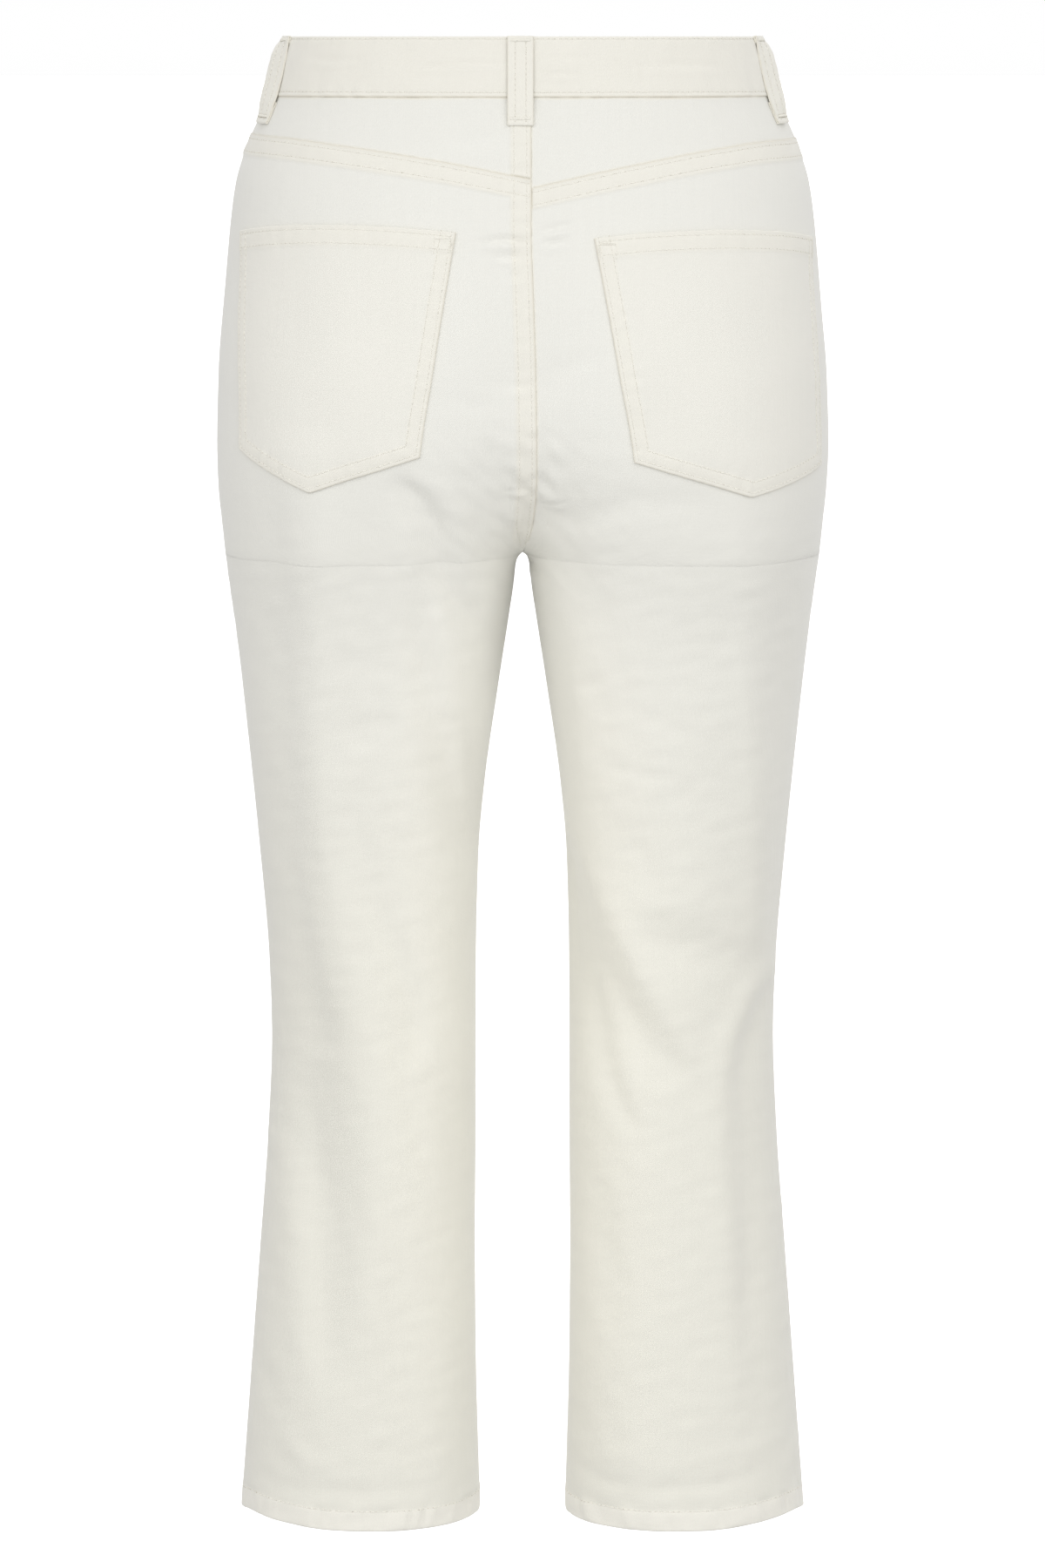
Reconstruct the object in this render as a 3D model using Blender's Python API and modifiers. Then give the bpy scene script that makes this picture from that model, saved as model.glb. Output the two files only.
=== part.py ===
"""Capri pants in cotton twill, filled out as worn: a hollow garment of sewn pieces.

The wearer faces -Y, +Z is up and +X is the wearer's left. The origin is the middle of the waist
opening, half way down the waistband. Sizes in the tables are millimetres. A drop is measured down
from the top of the waistband, and an arc length runs along the cloth from the centre seam, or from
the inseam below the crotch, towards the side seam.
"""

import math

import bpy
import numpy as np

MM = 0.001

# Driving sizes, in millimetres
BAND_HEIGHT = 35.0
LENGTH = 878.0
CROTCH_DROP = 303.5
SEAT_DROP = 200.0
FRONT_DIP = 13.0  # how much lower the waist is at the front
FRONT_DIP_DEPTH = 100.0  # the dip is full this far in front of the middle
FRONT_DIP_FADE = 230.0  # the drop at which the dip has died out

CLOTH = 1.4
SEAM_GAP = 0.3
LAP_RAISE = 0.6  # a felled seam's extra layers
BAND_RAISE = 0.7
BAND_WALL = 2.4
HEM_DEPTH = 12.0
HEM_WALL = 2.6
UNDER_GAP = 0.5  # between a panel and what is sewn on it

LOOP_WIDTH = 15.0
LOOP_WALL = 2.2
LOOP_STAND_OFF = 2.6

# The garment's sections. side: half width at the side seam. inner: where one leg's own oval would
# end, negative where it runs past the middle. back, front: the depth of the fullest points.
SECTION_COLUMNS = ("drop", "side", "inner", "back", "front", "square")
SECTIONS = (
    (0.0, 139.5, -139.5, 98.0, 98.0, 2.25),
    (35.0, 149.5, -134.0, 107.0, 104.0, 2.20),
    (60.0, 160.5, -126.0, 113.0, 108.0, 2.20),
    (85.0, 168.6, -108.0, 118.0, 110.5, 2.20),
    (110.0, 172.0, -92.0, 122.0, 112.0, 2.20),
    (160.0, 176.2, -60.0, 128.5, 113.0, 2.25),
    (200.0, 179.2, -36.0, 131.0, 112.0, 2.30),
    (235.0, 180.1, -19.0, 129.0, 108.5, 2.35),
    (262.0, 179.3, -9.0, 123.0, 104.0, 2.40),
    (285.0, 177.4, -1.5, 116.0, 100.0, 2.40),
    (303.5, 175.5, 4.0, 109.5, 96.5, 2.40),
    (320.0, 173.3, 5.1, 104.5, 94.0, 2.35),
    (340.0, 170.6, 7.9, 100.0, 92.0, 2.30),
    (380.0, 166.2, 14.0, 93.0, 89.0, 2.20),
    (440.0, 160.0, 22.5, 84.0, 83.0, 2.15),
    (483.0, 155.9, 26.2, 78.5, 78.0, 2.10),
    (545.0, 150.9, 27.7, 73.0, 73.5, 2.10),
    (590.0, 149.5, 27.9, 70.5, 71.5, 2.10),
    (650.0, 151.9, 28.0, 69.5, 70.5, 2.10),
    (715.0, 156.7, 28.4, 69.5, 70.5, 2.10),
    (778.0, 161.4, 28.0, 70.5, 71.0, 2.10),
    (878.0, 169.0, 25.5, 72.5, 71.5, 2.10),
)

# How far the centre seams lie inside the fullest points, down to the seat.
CENTRE_COLUMNS = ("drop", "seat", "fly")
CENTRES = (
    (0.0, 0.0, 0.0),
    (60.0, 0.0, 0.0),
    (110.0, 1.5, 0.3),
    (160.0, 5.0, 1.0),
    (200.0, 10.0, 4.0),
)
RISE_ROUNDNESS = {"back": 2.1, "front": 1.9}
CROTCH_FILLET = 4.0  # the valley's radius where the legs part
CROTCH_FADE = 11.0  # the fillet dies out over about this distance down the inseam

RING_SAMPLES = 180

# Seams. The back panel laps up over the yoke, and the left side laps over the right.
YOKE_SEAM_COLUMNS = ("part", "left", "right")  # part: of the way from the centre to the side
YOKE_SEAM = (
    (0.0, 81.5, 87.0),
    (0.25, 70.4, 74.6),
    (0.5, 62.5, 65.0),
    (0.7, 58.4, 60.6),
    (1.0, 56.2, 59.0),
)
YOKE_LAP = 12.0
CENTRE_LAP_COLUMNS = ("drop", "back", "front")
CENTRE_LAP = (
    (0.0, 5.2, 14.0),
    (110.0, 5.2, 14.0),
    (150.0, 6.5, 12.0),
    (200.0, 8.0, 5.0),
    (250.0, 8.5, 4.0),
    (285.0, 6.0, 2.0),
    (303.5, 0.0, 0.0),
)
HEM_LINE_COLUMNS = ("part", "rise")  # how much the hem rises above its level, round half a leg
HEM_LINE = (
    (0.0, 0.0),
    (0.35, -1.2),
    (0.55, -0.6),
    (0.72, 2.2),
    (0.85, 4.0),
    (1.0, 0.8),
)
HEM_LINE_REACH = 160.0  # the rise dies out this far above the hem
LAP_FADE = 20.0  # the extra layers thin out this far above the crotch
STRIP_COLUMNS = ("drop", "back", "front")  # the lapped strip's other side, from the centre
STRIP = (
    (0.0, 4.0, 22.0),
    (140.0, 4.0, 22.0),
    (165.0, 4.0, 17.0),
    (182.0, 4.0, 4.0),
    (878.0, 4.0, 4.0),
)
STRIP_STEP = 1.0
STRIP_PARTS = (0.0, 0.03, 0.06)  # the parts of the way across of the first three columns

# The main folds, as straight soft troughs (negative height) and ridges, seen square on.
# x0, x1: across, positive on the wearer's left.
FOLD_COLUMNS = ("x0", "drop0", "x1", "drop1", "width", "height")
FOLDS = {
    "back": (
        (139.0, 601.0, 90.0, 690.0, 16.0, -2.2),
        (90.0, 690.0, 103.0, 776.0, 15.0, -1.8),
        (64.0, 262.0, 32.0, 330.0, 9.0, -1.6),
        (60.0, 312.0, 43.0, 430.0, 10.0, -2.0),
        (114.0, 400.0, 78.0, 401.0, 8.0, -1.2),
        (94.0, 444.0, 82.0, 511.0, 11.0, -1.5),
        (82.0, 511.0, 58.0, 588.0, 12.0, -1.8),
        (-33.0, 478.0, -46.0, 510.0, 10.0, -2.6),
        (-46.0, 510.0, -98.0, 598.0, 12.0, -3.4),
        (-36.0, 530.0, -48.0, 585.0, 9.0, -1.4),
        (-48.0, 585.0, -74.0, 650.0, 11.0, -2.0),
        (-92.0, 546.0, -118.0, 572.0, 15.0, 2.2),
        (-141.0, 556.0, -121.0, 604.0, 11.0, -2.6),
        (-123.0, 606.0, -134.0, 760.0, 12.0, -1.8),
        (-76.0, 526.0, -126.0, 528.0, 7.0, -1.2),
        (-8.0, 196.0, -52.0, 178.0, 9.0, -1.0),
        (-8.0, 264.0, -58.0, 250.0, 9.0, -1.6),
        (8.0, 270.0, 46.0, 262.0, 8.0, -1.4),
    ),
    "front": (
        (10.0, 278.0, 74.0, 250.0, 8.0, -1.8),
        (-10.0, 280.0, -80.0, 256.0, 8.0, -1.6),
        (14.0, 250.0, 98.0, 226.0, 9.0, -1.2),
        (-20.0, 246.0, -88.0, 214.0, 9.0, -1.4),
        (42.0, 320.0, 58.0, 420.0, 11.0, -1.8),
        (-38.0, 326.0, -70.0, 436.0, 12.0, -1.8),
        (60.0, 505.0, 124.0, 548.0, 12.0, -2.6),
        (48.0, 560.0, 108.0, 612.0, 12.0, -2.2),
        (-52.0, 496.0, -118.0, 530.0, 11.0, -2.4),
        (-60.0, 570.0, -124.0, 590.0, 12.0, -2.0),
        (132.0, 640.0, 88.0, 742.0, 14.0, -2.0),
        (-96.0, 650.0, -120.0, 770.0, 14.0, -1.8),
    ),
}
FOLD_EDGE = 18.0  # the folds die out this close to the side seam and the inseam

# Patch pockets: each corner's arc length from the centre seam, and its drop.
POCKET_COLUMNS = ("left_arc", "left_drop", "right_arc", "right_drop")
POCKET_CORNERS = {
    "top_inner": (38.0, 112.0, 41.0, 115.3),
    "top_middle": (114.0, 108.0, 118.0, 111.0),
    "top_outer": (190.0, 112.7, 203.0, 116.5),
    "bottom_outer": (181.0, 238.0, 204.0, 248.5),
    "point": (126.0, 261.0, 136.5, 264.0),
    "bottom_inner": (60.5, 240.5, 66.0, 243.3),
}
POCKET_CLOTH = 1.2
POCKET_HEM_RAISE = 0.5
POCKET_ROWS = (0.0, 0.08, 0.09, 0.2, 0.31, 0.42, 0.53, 0.64, 0.76, 0.88, 1.0)
POCKET_HEM_ROW = 1  # the last thick row
POCKET_COLUMN_COUNT = 18

# Belt loops. arc: from the centre back, or from the side seam or the centre front.
LOOP_PROFILE_COLUMNS = ("drop", "gap")
LOOP_PROFILE = (
    (0.4, 0.5),
    (3.5, 0.55),
    (7.0, 1.5),
    (12.0, 2.6),
    (20.0, 3.1),
    (32.0, 3.0),
    (39.0, 2.3),
    (44.0, 1.1),
    (47.0, 0.55),
    (50.5, 0.5),
)
LOOPS = {
    # name: side, face, arc at the top, arc at the bottom, measured from the side seam, twist
    "loop_back": (1.0, "back", 1.2, 1.2, False, 0.0),
    "loop_side_left": (1.0, "back", 27.0, 36.0, True, 1.6),
    "loop_side_right": (-1.0, "back", 27.0, 36.0, True, 1.6),
    "loop_front_left": (1.0, "front", 88.0, 90.0, False, 0.0),
    "loop_front_right": (-1.0, "front", 88.0, 90.0, False, 0.0),
}

BAND_LAP = 14.0
BAND_UNDERLAP = 14.0
UNDERLAP_RAMP = (19.0, 40.0)
BAND_COLUMNS = {"back": 13, "front": 12}

FLY_SHIELD_ARCS = (-20.0, -10.0, 0.0, 10.0, 20.0)
FLY_SHIELD_DROPS = (37.0, 72.0, 107.0, 142.0, 172.0)
FLY_SHIELD_WALL = 1.2

BUTTON_PROFILE = (
    (0.0, 3.0),
    (4.6, 3.0),
    (5.4, 3.5),
    (7.4, 3.5),
    (8.5, 2.6),
    (8.5, 1.9),
    (7.6, 1.4),
    (3.4, 1.2),
    (3.4, 0.0),
    (0.0, 0.0),
)

# How finely the panels are divided
FAN_ROWS = {"back": 13, "front": 10}
LEG_ROWS = {"back": 19, "front": 13}
PANEL_COLUMNS = {"back": 20, "front": 13}

TWILL = (0.80, 0.785, 0.70, 1.0)
BRUSHED_METAL = (0.62, 0.60, 0.56, 1.0)
SHARP_DEGREES = 50

LEFT, RIGHT = 1.0, -1.0


def column_of(table, columns, name):
    """One named column of a table, as an array."""
    return np.array(table, dtype=float)[:, columns.index(name)]


def smooth(x, xs, ys):
    """A curve through the points with no overshoot: cubic pieces with limited slopes."""
    x = np.clip(np.asarray(x, dtype=float), xs[0], xs[-1])
    step = np.diff(xs)
    slope = np.diff(ys) / step
    before, after = slope[:-1], slope[1:]
    rising = before * after > 0
    total = np.where(rising, before + after, 1.0)
    middle = np.where(rising, 2 * before * after / total, 0.0)
    tangent = np.concatenate(([slope[0]], middle, [slope[-1]]))
    i = np.clip(np.searchsorted(xs, x) - 1, 0, len(xs) - 2)
    t = (x - xs[i]) / step[i]
    return (
        (2 * t**3 - 3 * t**2 + 1) * ys[i]
        + (t**3 - 2 * t**2 + t) * step[i] * tangent[i]
        + (3 * t**2 - 2 * t**3) * ys[i + 1]
        + (t**3 - t**2) * step[i] * tangent[i + 1]
    )


def lookup(table, columns, name, x):
    return smooth(x, column_of(table, columns, columns[0]), column_of(table, columns, name))


def section(drop, name):
    return lookup(SECTIONS, SECTION_COLUMNS, name, drop)


def ovals(drop):
    """A leg's oval at each drop: its centre, half width, middle depth and half depth."""
    side, inner = section(drop, "side"), section(drop, "inner")
    back, front = section(drop, "back"), section(drop, "front")
    return (side + inner) / 2, (side - inner) / 2, (back - front) / 2, (back + front) / 2


def centre_depth(drop, face):
    """The depth of the centre seam from the oval's middle: a shallow dip, then a round rise."""
    name = "seat" if face == "back" else "fly"
    _, _, _, depth = ovals(drop)
    dip = lookup(CENTRES, CENTRE_COLUMNS, name, drop)
    _, _, _, seat_depth = ovals(np.full(1, SEAT_DROP))
    full = seat_depth[0] - column_of(CENTRES, CENTRE_COLUMNS, name)[-1]
    along = np.clip((drop - SEAT_DROP) / (CROTCH_DROP - SEAT_DROP), 0, 1)
    power = RISE_ROUNDNESS[face]
    rise = full * (1 - along**power) ** (1 / power)
    return np.where(drop < SEAT_DROP, depth - dip, np.minimum(rise, depth))


def ring(drop, face):
    """Half a leg's section, from the centre seam or inseam to the side seam.

    A superellipse in a stretched width u, with x = sqrt(u^2 - valley^2), which rounds the valley
    between the legs. Returns x, y and the arc length, one row for each drop.
    """
    drop = np.asarray(drop, dtype=float)
    centre, half, middle, depth = ovals(drop)
    power = section(drop, "square")
    part = np.clip(centre_depth(drop, face) / depth, 0, 1)
    reach = half * (1 - part**power) ** (1 / power)
    above = centre - reach
    inner = section(drop, "inner")
    below = CROTCH_FILLET * np.exp(-(drop - CROTCH_DROP) / CROTCH_FADE)
    valley = np.where(drop < CROTCH_DROP, above, np.minimum(below, inner))
    start = np.maximum(valley, inner)
    first = np.arccos(np.clip((centre - start) / half, 0, 1) ** (power / 2))
    first = np.where(centre < start, math.pi / 2, first)
    t = np.linspace(0, 1, RING_SAMPLES) ** 2
    angle = first[:, None] + (math.pi - first[:, None]) * t
    cos, sin = np.cos(angle), np.abs(np.sin(angle))
    u = centre[:, None] - half[:, None] * np.sign(cos) * np.abs(cos) ** (2 / power[:, None])
    y = depth[:, None] * sin ** (2 / power[:, None])
    side = section(drop, "side")
    scale = side / np.sqrt(np.maximum(side**2 - valley**2, 1.0))
    x = np.sqrt(np.maximum(u**2 - valley[:, None] ** 2, 0)) * scale[:, None]
    x[:, 0] = np.where(drop < CROTCH_DROP, 0, x[:, 0])
    y[:, -1] = 0
    length = np.hypot(np.diff(x, axis=1), np.diff(y, axis=1)).cumsum(axis=1)
    length = np.concatenate([np.zeros((len(drop), 1)), length], axis=1)
    y = middle[:, None] + (y if face == "back" else -y)
    return x, y, length


def girth(drop, face):
    """The arc length from the centre seam or inseam to the side seam."""
    return ring(np.atleast_1d(drop), face)[2][:, -1]


def surface(drop, arc, face):
    """Points of the plain outer surface on the wearer's left, in millimetres.

    A negative arc length lies past the centre seam, on the mirrored side.
    """
    drop, arc = np.broadcast_arrays(np.asarray(drop, float), np.asarray(arc, float))
    flat_drop, flat_arc = drop.ravel(), arc.ravel()
    x, y, length = ring(flat_drop, face)
    reach = np.minimum(np.abs(flat_arc), length[:, -1])
    i = np.clip((length < reach[:, None]).sum(axis=1) - 1, 0, RING_SAMPLES - 2)
    row = np.arange(len(flat_drop))
    step = np.maximum(length[row, i + 1] - length[row, i], 1e-9)
    t = np.clip((reach - length[row, i]) / step, 0, 1)
    px = x[row, i] + (x[row, i + 1] - x[row, i]) * t
    py = y[row, i] + (y[row, i + 1] - y[row, i]) * t
    px = np.where((flat_arc < 0) & (flat_drop < CROTCH_DROP), -px, px)
    points = np.stack([px, py, BAND_HEIGHT / 2 - flat_drop], axis=-1)
    return points.reshape(*drop.shape, 3)


def outward(drop, arc, face):
    """Unit normals of the plain surface, from points half a millimetre to each side."""
    half = 0.5
    down = surface(drop + half, arc, face) - surface(drop - half, arc, face)
    along = surface(drop, arc + half, face) - surface(drop, arc - half, face)
    normal = np.cross(down, along)
    normal = normal if face == "front" else -normal
    return normal / np.linalg.norm(normal, axis=-1, keepdims=True)


def fold_height(x, drop, y, face):
    """The height of the folds: a sum of bells around straight lines, which fade at the seams."""
    height = np.zeros_like(x)
    for row in FOLDS[face]:
        fold = dict(zip(FOLD_COLUMNS, row))
        run = np.array([fold["x1"] - fold["x0"], fold["drop1"] - fold["drop0"]])
        away_x, away_drop = x - fold["x0"], drop - fold["drop0"]
        t = np.clip((away_x * run[0] + away_drop * run[1]) / run.dot(run), 0, 1)
        distance = np.hypot(away_x - t * run[0], away_drop - t * run[1])
        height += fold["height"] * np.exp(-((distance / fold["width"]) ** 2))
    _, _, middle, _ = ovals(drop)
    edge = np.clip(np.abs(y - middle) / FOLD_EDGE, 0, 1)
    return height * edge * edge * (3 - 2 * edge)


def skin(side, face, drop, arc, lift):
    """World points in metres, on the outer surface with its folds, moved out by the lift."""
    drop, arc = np.broadcast_arrays(np.asarray(drop, float), np.asarray(arc, float))
    base = surface(drop, arc, face)
    height = fold_height(side * base[..., 0], drop, base[..., 1], face) + lift
    points = base + outward(drop, arc, face) * height[..., None]
    forward = np.clip(-points[..., 1] / FRONT_DIP_DEPTH, 0, None)
    fade = np.clip(1 - drop / FRONT_DIP_FADE, 0, 1)
    points[..., 2] -= FRONT_DIP * forward**1.5 * fade
    points[..., 0] *= side
    return points * MM


def twill(name):
    """A matt off-white twill."""
    material = bpy.data.materials.new(name)
    material.use_nodes = True
    shader = material.node_tree.nodes["Principled BSDF"]
    shader.inputs["Base Color"].default_value = TWILL
    shader.inputs["Roughness"].default_value = 0.85
    shader.inputs["Metallic"].default_value = 0.0
    return material


def metal(name):
    """A brushed metal."""
    material = bpy.data.materials.new(name)
    material.use_nodes = True
    shader = material.node_tree.nodes["Principled BSDF"]
    shader.inputs["Base Color"].default_value = BRUSHED_METAL
    shader.inputs["Roughness"].default_value = 0.35
    shader.inputs["Metallic"].default_value = 1.0
    return material


def cloth_wall(name, collection, outer, inner):
    """A wall lofted between two grids of points, closed round its four edges."""
    rows, columns = outer.shape[:2]
    count = rows * columns
    index = np.arange(count).reshape(rows, columns)
    a, b = index[:-1, :-1].ravel(), index[:-1, 1:].ravel()
    c, d = index[1:, 1:].ravel(), index[1:, :-1].ravel()
    front = np.concatenate([np.stack([a, b, c], 1), np.stack([a, c, d], 1)])
    border = np.concatenate(
        [index[0, :-1], index[:-1, -1], index[-1, :0:-1], index[:0:-1, 0]]
    )
    after = np.roll(border, -1)
    rim = np.concatenate(
        [
            np.stack([border, border + count, after + count], 1),
            np.stack([border, after + count, after], 1),
        ]
    )
    faces = np.concatenate([front, front[:, ::-1] + count, rim])
    points = np.concatenate([outer.reshape(-1, 3), inner.reshape(-1, 3)])
    corners = points[faces]
    volume = np.einsum("ij,ij->i", corners[:, 0], np.cross(corners[:, 1], corners[:, 2]))
    if volume.sum() < 0:
        faces = faces[:, ::-1]
    mesh = bpy.data.meshes.new(name)
    mesh.from_pydata(points.tolist(), [], faces.tolist())
    mesh.validate()
    mesh.set_sharp_from_angle(angle=math.radians(SHARP_DEGREES))
    piece = bpy.data.objects.new(name, mesh)
    piece.data.materials.append(twill("twill_" + name))
    collection.objects.link(piece)
    return piece


def yoke_drop(side, part):
    name = "left" if side == LEFT else "right"
    return lookup(YOKE_SEAM, YOKE_SEAM_COLUMNS, name, part)


def centre_edge(side, face, drop):
    """The arc length at which a panel starts: at the lap's edge, or at the inseam."""
    lap = lookup(CENTRE_LAP, CENTRE_LAP_COLUMNS, face, drop)
    return -side * lap + SEAM_GAP / 2


def panel_columns(side, face, drop, parts):
    """Arc lengths across a panel, one column for each part, and which of them are in the strip."""
    strip = lookup(STRIP, STRIP_COLUMNS, face, drop)[:, :1]
    start = centre_edge(side, face, drop)[:, :1]
    end = girth(drop.ravel(), face).reshape(drop.shape) - SEAM_GAP / 2
    if side == RIGHT:
        return start + (end - start) * parts, np.zeros(len(parts), bool)
    arc = strip + STRIP_STEP + (end - strip - STRIP_STEP) * (parts - parts[2]) / (1 - parts[2])
    arc[:, :1] = start
    arc[:, 1:2] = strip
    return arc, np.arange(len(parts)) < 2


def panel_parts(count):
    """Even parts of the way across, after two columns close together at the centre."""
    return np.concatenate([STRIP_PARTS[:2], np.linspace(STRIP_PARTS[2], 1, count - 2)])


def rise_parts(face, top, count):
    """Parts of the drop from a panel's top to the crotch, even along the curved centre seam."""
    fine = np.linspace(0, 1, 400)
    drop = top + (CROTCH_DROP - top) * (1 - (1 - fine) ** 3)
    y = ring(drop, face)[1][:, 0]
    length = np.concatenate([[0], np.hypot(np.diff(drop), np.diff(y)).cumsum()])
    even = np.interp(np.linspace(0, length[-1], count + 1), length, drop)
    return (even - top) / (CROTCH_DROP - top)


def panel_drops(face, top, parts, fan_rows, leg_rows):
    """Drops of a leg panel's rows: a fan from the slanted top to the crotch, then level rows."""
    inner = rise_parts(face, float(top[0]), fan_rows)
    outer = np.linspace(0, 1, fan_rows + 1)
    fan = inner[:, None] * (1 - parts) + outer[:, None] * parts
    rows = [top + (CROTCH_DROP - top) * part for part in fan]
    hem_top = LENGTH - HEM_DEPTH
    for drop in np.linspace(CROTCH_DROP, hem_top - 1.5, leg_rows + 1)[1:]:
        rows.append(np.full_like(top, drop))
    rows.append(np.full_like(top, hem_top))
    rows.append(np.full_like(top, LENGTH))
    drop = np.array(rows)
    reach = np.clip((drop - hem_top + HEM_LINE_REACH) / HEM_LINE_REACH, 0, 1)
    return drop - lookup(HEM_LINE, HEM_LINE_COLUMNS, "rise", parts) * reach**2


def leg_panel(name, collection, side, face):
    """One leg's back or front, from its top seam to the hem, with its lap and hem thicker."""
    parts = panel_parts(PANEL_COLUMNS[face])
    if face == "back":
        top = yoke_drop(side, parts) + SEAM_GAP / 2
        lap_rows = np.array([top, top + YOKE_LAP])
        fan_top = top + YOKE_LAP + STRIP_STEP
    else:
        top = np.full_like(parts, BAND_HEIGHT + SEAM_GAP / 2)
        lap_rows = np.zeros((0, len(parts)))
        fan_top = top
    drop = panel_drops(face, fan_top, parts, FAN_ROWS[face], LEG_ROWS[face])
    drop = np.concatenate([lap_rows, drop])
    arc, in_strip = panel_columns(side, face, drop, parts)
    fade = np.clip((CROTCH_DROP - drop) / LAP_FADE, 0, 1)
    raised = np.where(in_strip, LAP_RAISE * fade, 0)
    raised[: len(lap_rows)] = LAP_RAISE
    wall = np.full_like(drop, CLOTH)
    wall[-2:] = HEM_WALL
    outer = skin(side, face, drop, arc, raised)
    inner = skin(side, face, drop, arc, -wall)
    return cloth_wall(name, collection, outer, inner)


def yoke(name, collection, side):
    """The piece between the waistband and the slanted back seam."""
    parts = panel_parts(PANEL_COLUMNS["back"])
    bottom = yoke_drop(side, parts) - SEAM_GAP / 2
    top = np.full_like(parts, BAND_HEIGHT + SEAM_GAP / 2)
    drop = top + (bottom - top) * np.linspace(0, 1, 4)[:, None]
    arc, in_strip = panel_columns(side, "back", drop, parts)
    raised = np.where(in_strip, LAP_RAISE, 0) * np.ones_like(drop)
    outer = skin(side, "back", drop, arc, raised)
    inner = skin(side, "back", drop, arc, -CLOTH)
    return cloth_wall(name, collection, outer, inner)


def waistband(name, collection):
    """A band once round the waist, whose right end runs on under the left one."""
    drop = np.array([0.0, BAND_HEIGHT / 2, BAND_HEIGHT - SEAM_GAP / 2])
    front = np.linspace(0, 1, BAND_COLUMNS["front"])
    back = np.linspace(1, 0, BAND_COLUMNS["back"])[1:]
    outer, inner = [], []
    front_end, back_end = (girth(drop, face)[:, None] for face in ("front", "back"))
    stretches = (
        (LEFT, "front", -BAND_LAP + (front_end + BAND_LAP) * front),
        (LEFT, "back", back_end * back),
        (RIGHT, "back", back_end * back[::-1][1:]),
        (RIGHT, "back", back_end),
        (RIGHT, "front", -BAND_UNDERLAP + (front_end + BAND_UNDERLAP) * front[::-1][1:]),
    )
    under = BAND_WALL + UNDER_GAP
    near, far = UNDERLAP_RAMP
    for side, face, arc in stretches:
        sink = np.zeros_like(arc)
        if (side, face) == (RIGHT, "front"):
            t = np.clip((far - arc) / (far - near), 0, 1)
            sink = under * t * t * (3 - 2 * t)
        outer.append(skin(side, face, drop[:, None], arc, BAND_RAISE - sink))
        inner.append(skin(side, face, drop[:, None], arc, BAND_RAISE - BAND_WALL - sink))
    return cloth_wall(name, collection, np.hstack(outer), np.hstack(inner))


def pocket(name, collection, side):
    """A five-sided patch on the back panel, thicker along its turned-down top edge."""
    word = "left" if side == LEFT else "right"
    places = [POCKET_COLUMNS.index(word + kind) for kind in ("_arc", "_drop")]
    at = {corner: np.array(row)[places] for corner, row in POCKET_CORNERS.items()}
    across = np.linspace(0, 1, POCKET_COLUMN_COUNT)[:, None]
    bow = 4 * across * (1 - across)
    top = at["top_inner"] * (1 - across) + at["top_outer"] * across
    top = top + bow * (at["top_middle"] - (at["top_inner"] + at["top_outer"]) / 2)
    near = at["bottom_inner"] + (at["point"] - at["bottom_inner"]) * np.clip(across * 2, 0, 1)
    far = (at["bottom_outer"] - at["point"]) * np.clip(across * 2 - 1, 0, 1)
    bottom = near + far
    down = np.array(POCKET_ROWS)[:, None, None]
    place = top * (1 - down) + bottom * down
    thick = np.full(place.shape[:2], UNDER_GAP + POCKET_CLOTH)
    thick[: POCKET_HEM_ROW + 1] += POCKET_HEM_RAISE
    outer = skin(side, "back", place[..., 1], place[..., 0], thick)
    inner = skin(side, "back", place[..., 1], place[..., 0], UNDER_GAP)
    return cloth_wall(name, collection, outer, inner)


def belt_loop(name, collection, side, face, top_arc, bottom_arc, from_side, twist):
    """A folded strip, sewn down at both ends and standing off the band between them."""
    drop = column_of(LOOP_PROFILE, LOOP_PROFILE_COLUMNS, "drop")[:, None]
    gap = column_of(LOOP_PROFILE, LOOP_PROFILE_COLUMNS, "gap")[:, None]
    down = (drop - drop[0]) / (drop[-1] - drop[0])
    middle = top_arc + (bottom_arc - top_arc) * down
    if from_side:
        middle = girth(drop[:, 0], face)[:, None] - middle
    across = np.array([[-1.0, 0.0, 1.0]])
    arc = middle + across * LOOP_WIDTH / 2
    open_part = (gap - UNDER_GAP) / LOOP_STAND_OFF
    base = BAND_RAISE + gap + twist * open_part * (1 + across) / 2
    outer = skin(side, face, drop, arc, base + LOOP_WALL)
    inner = skin(side, face, drop, arc, base)
    return cloth_wall(name, collection, outer, inner)


def fly_shield(name, collection):
    """The strip behind the front opening."""
    drop = np.array(FLY_SHIELD_DROPS)[:, None]
    arc = np.array(FLY_SHIELD_ARCS)[None, :]
    top = -CLOTH - UNDER_GAP
    outer = skin(LEFT, "front", drop, arc, top)
    inner = skin(LEFT, "front", drop, arc, top - FLY_SHIELD_WALL)
    return cloth_wall(name, collection, outer, inner)


def button(name, collection):
    """A turned metal button on the band's lapped end."""
    mesh = bpy.data.meshes.new(name)
    points = [(radius * MM, 0, height * MM) for radius, height in BUTTON_PROFILE]
    mesh.from_pydata(points, [(i, i + 1) for i in range(len(points) - 1)], [])
    piece = bpy.data.objects.new(name, mesh)
    turn = piece.modifiers.new("turn", "SCREW")
    turn.axis = "Z"
    turn.steps = turn.render_steps = 20
    turn.use_merge_vertices = True
    turn.merge_threshold = 1e-5
    turn.use_smooth_shade = False
    half = np.full(1, BAND_HEIGHT / 2)
    seat = skin(LEFT, "front", half, np.zeros(1), BAND_RAISE + SEAM_GAP)[0]
    above = skin(LEFT, "front", half - 4, np.zeros(1), BAND_RAISE + SEAM_GAP)[0]
    lean = math.atan2(above[1] - seat[1], above[2] - seat[2])
    piece.location = seat
    piece.rotation_euler = (math.pi / 2 - lean, 0, 0)
    piece.data.materials.append(metal("metal_" + name))
    collection.objects.link(piece)
    return piece


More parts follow.
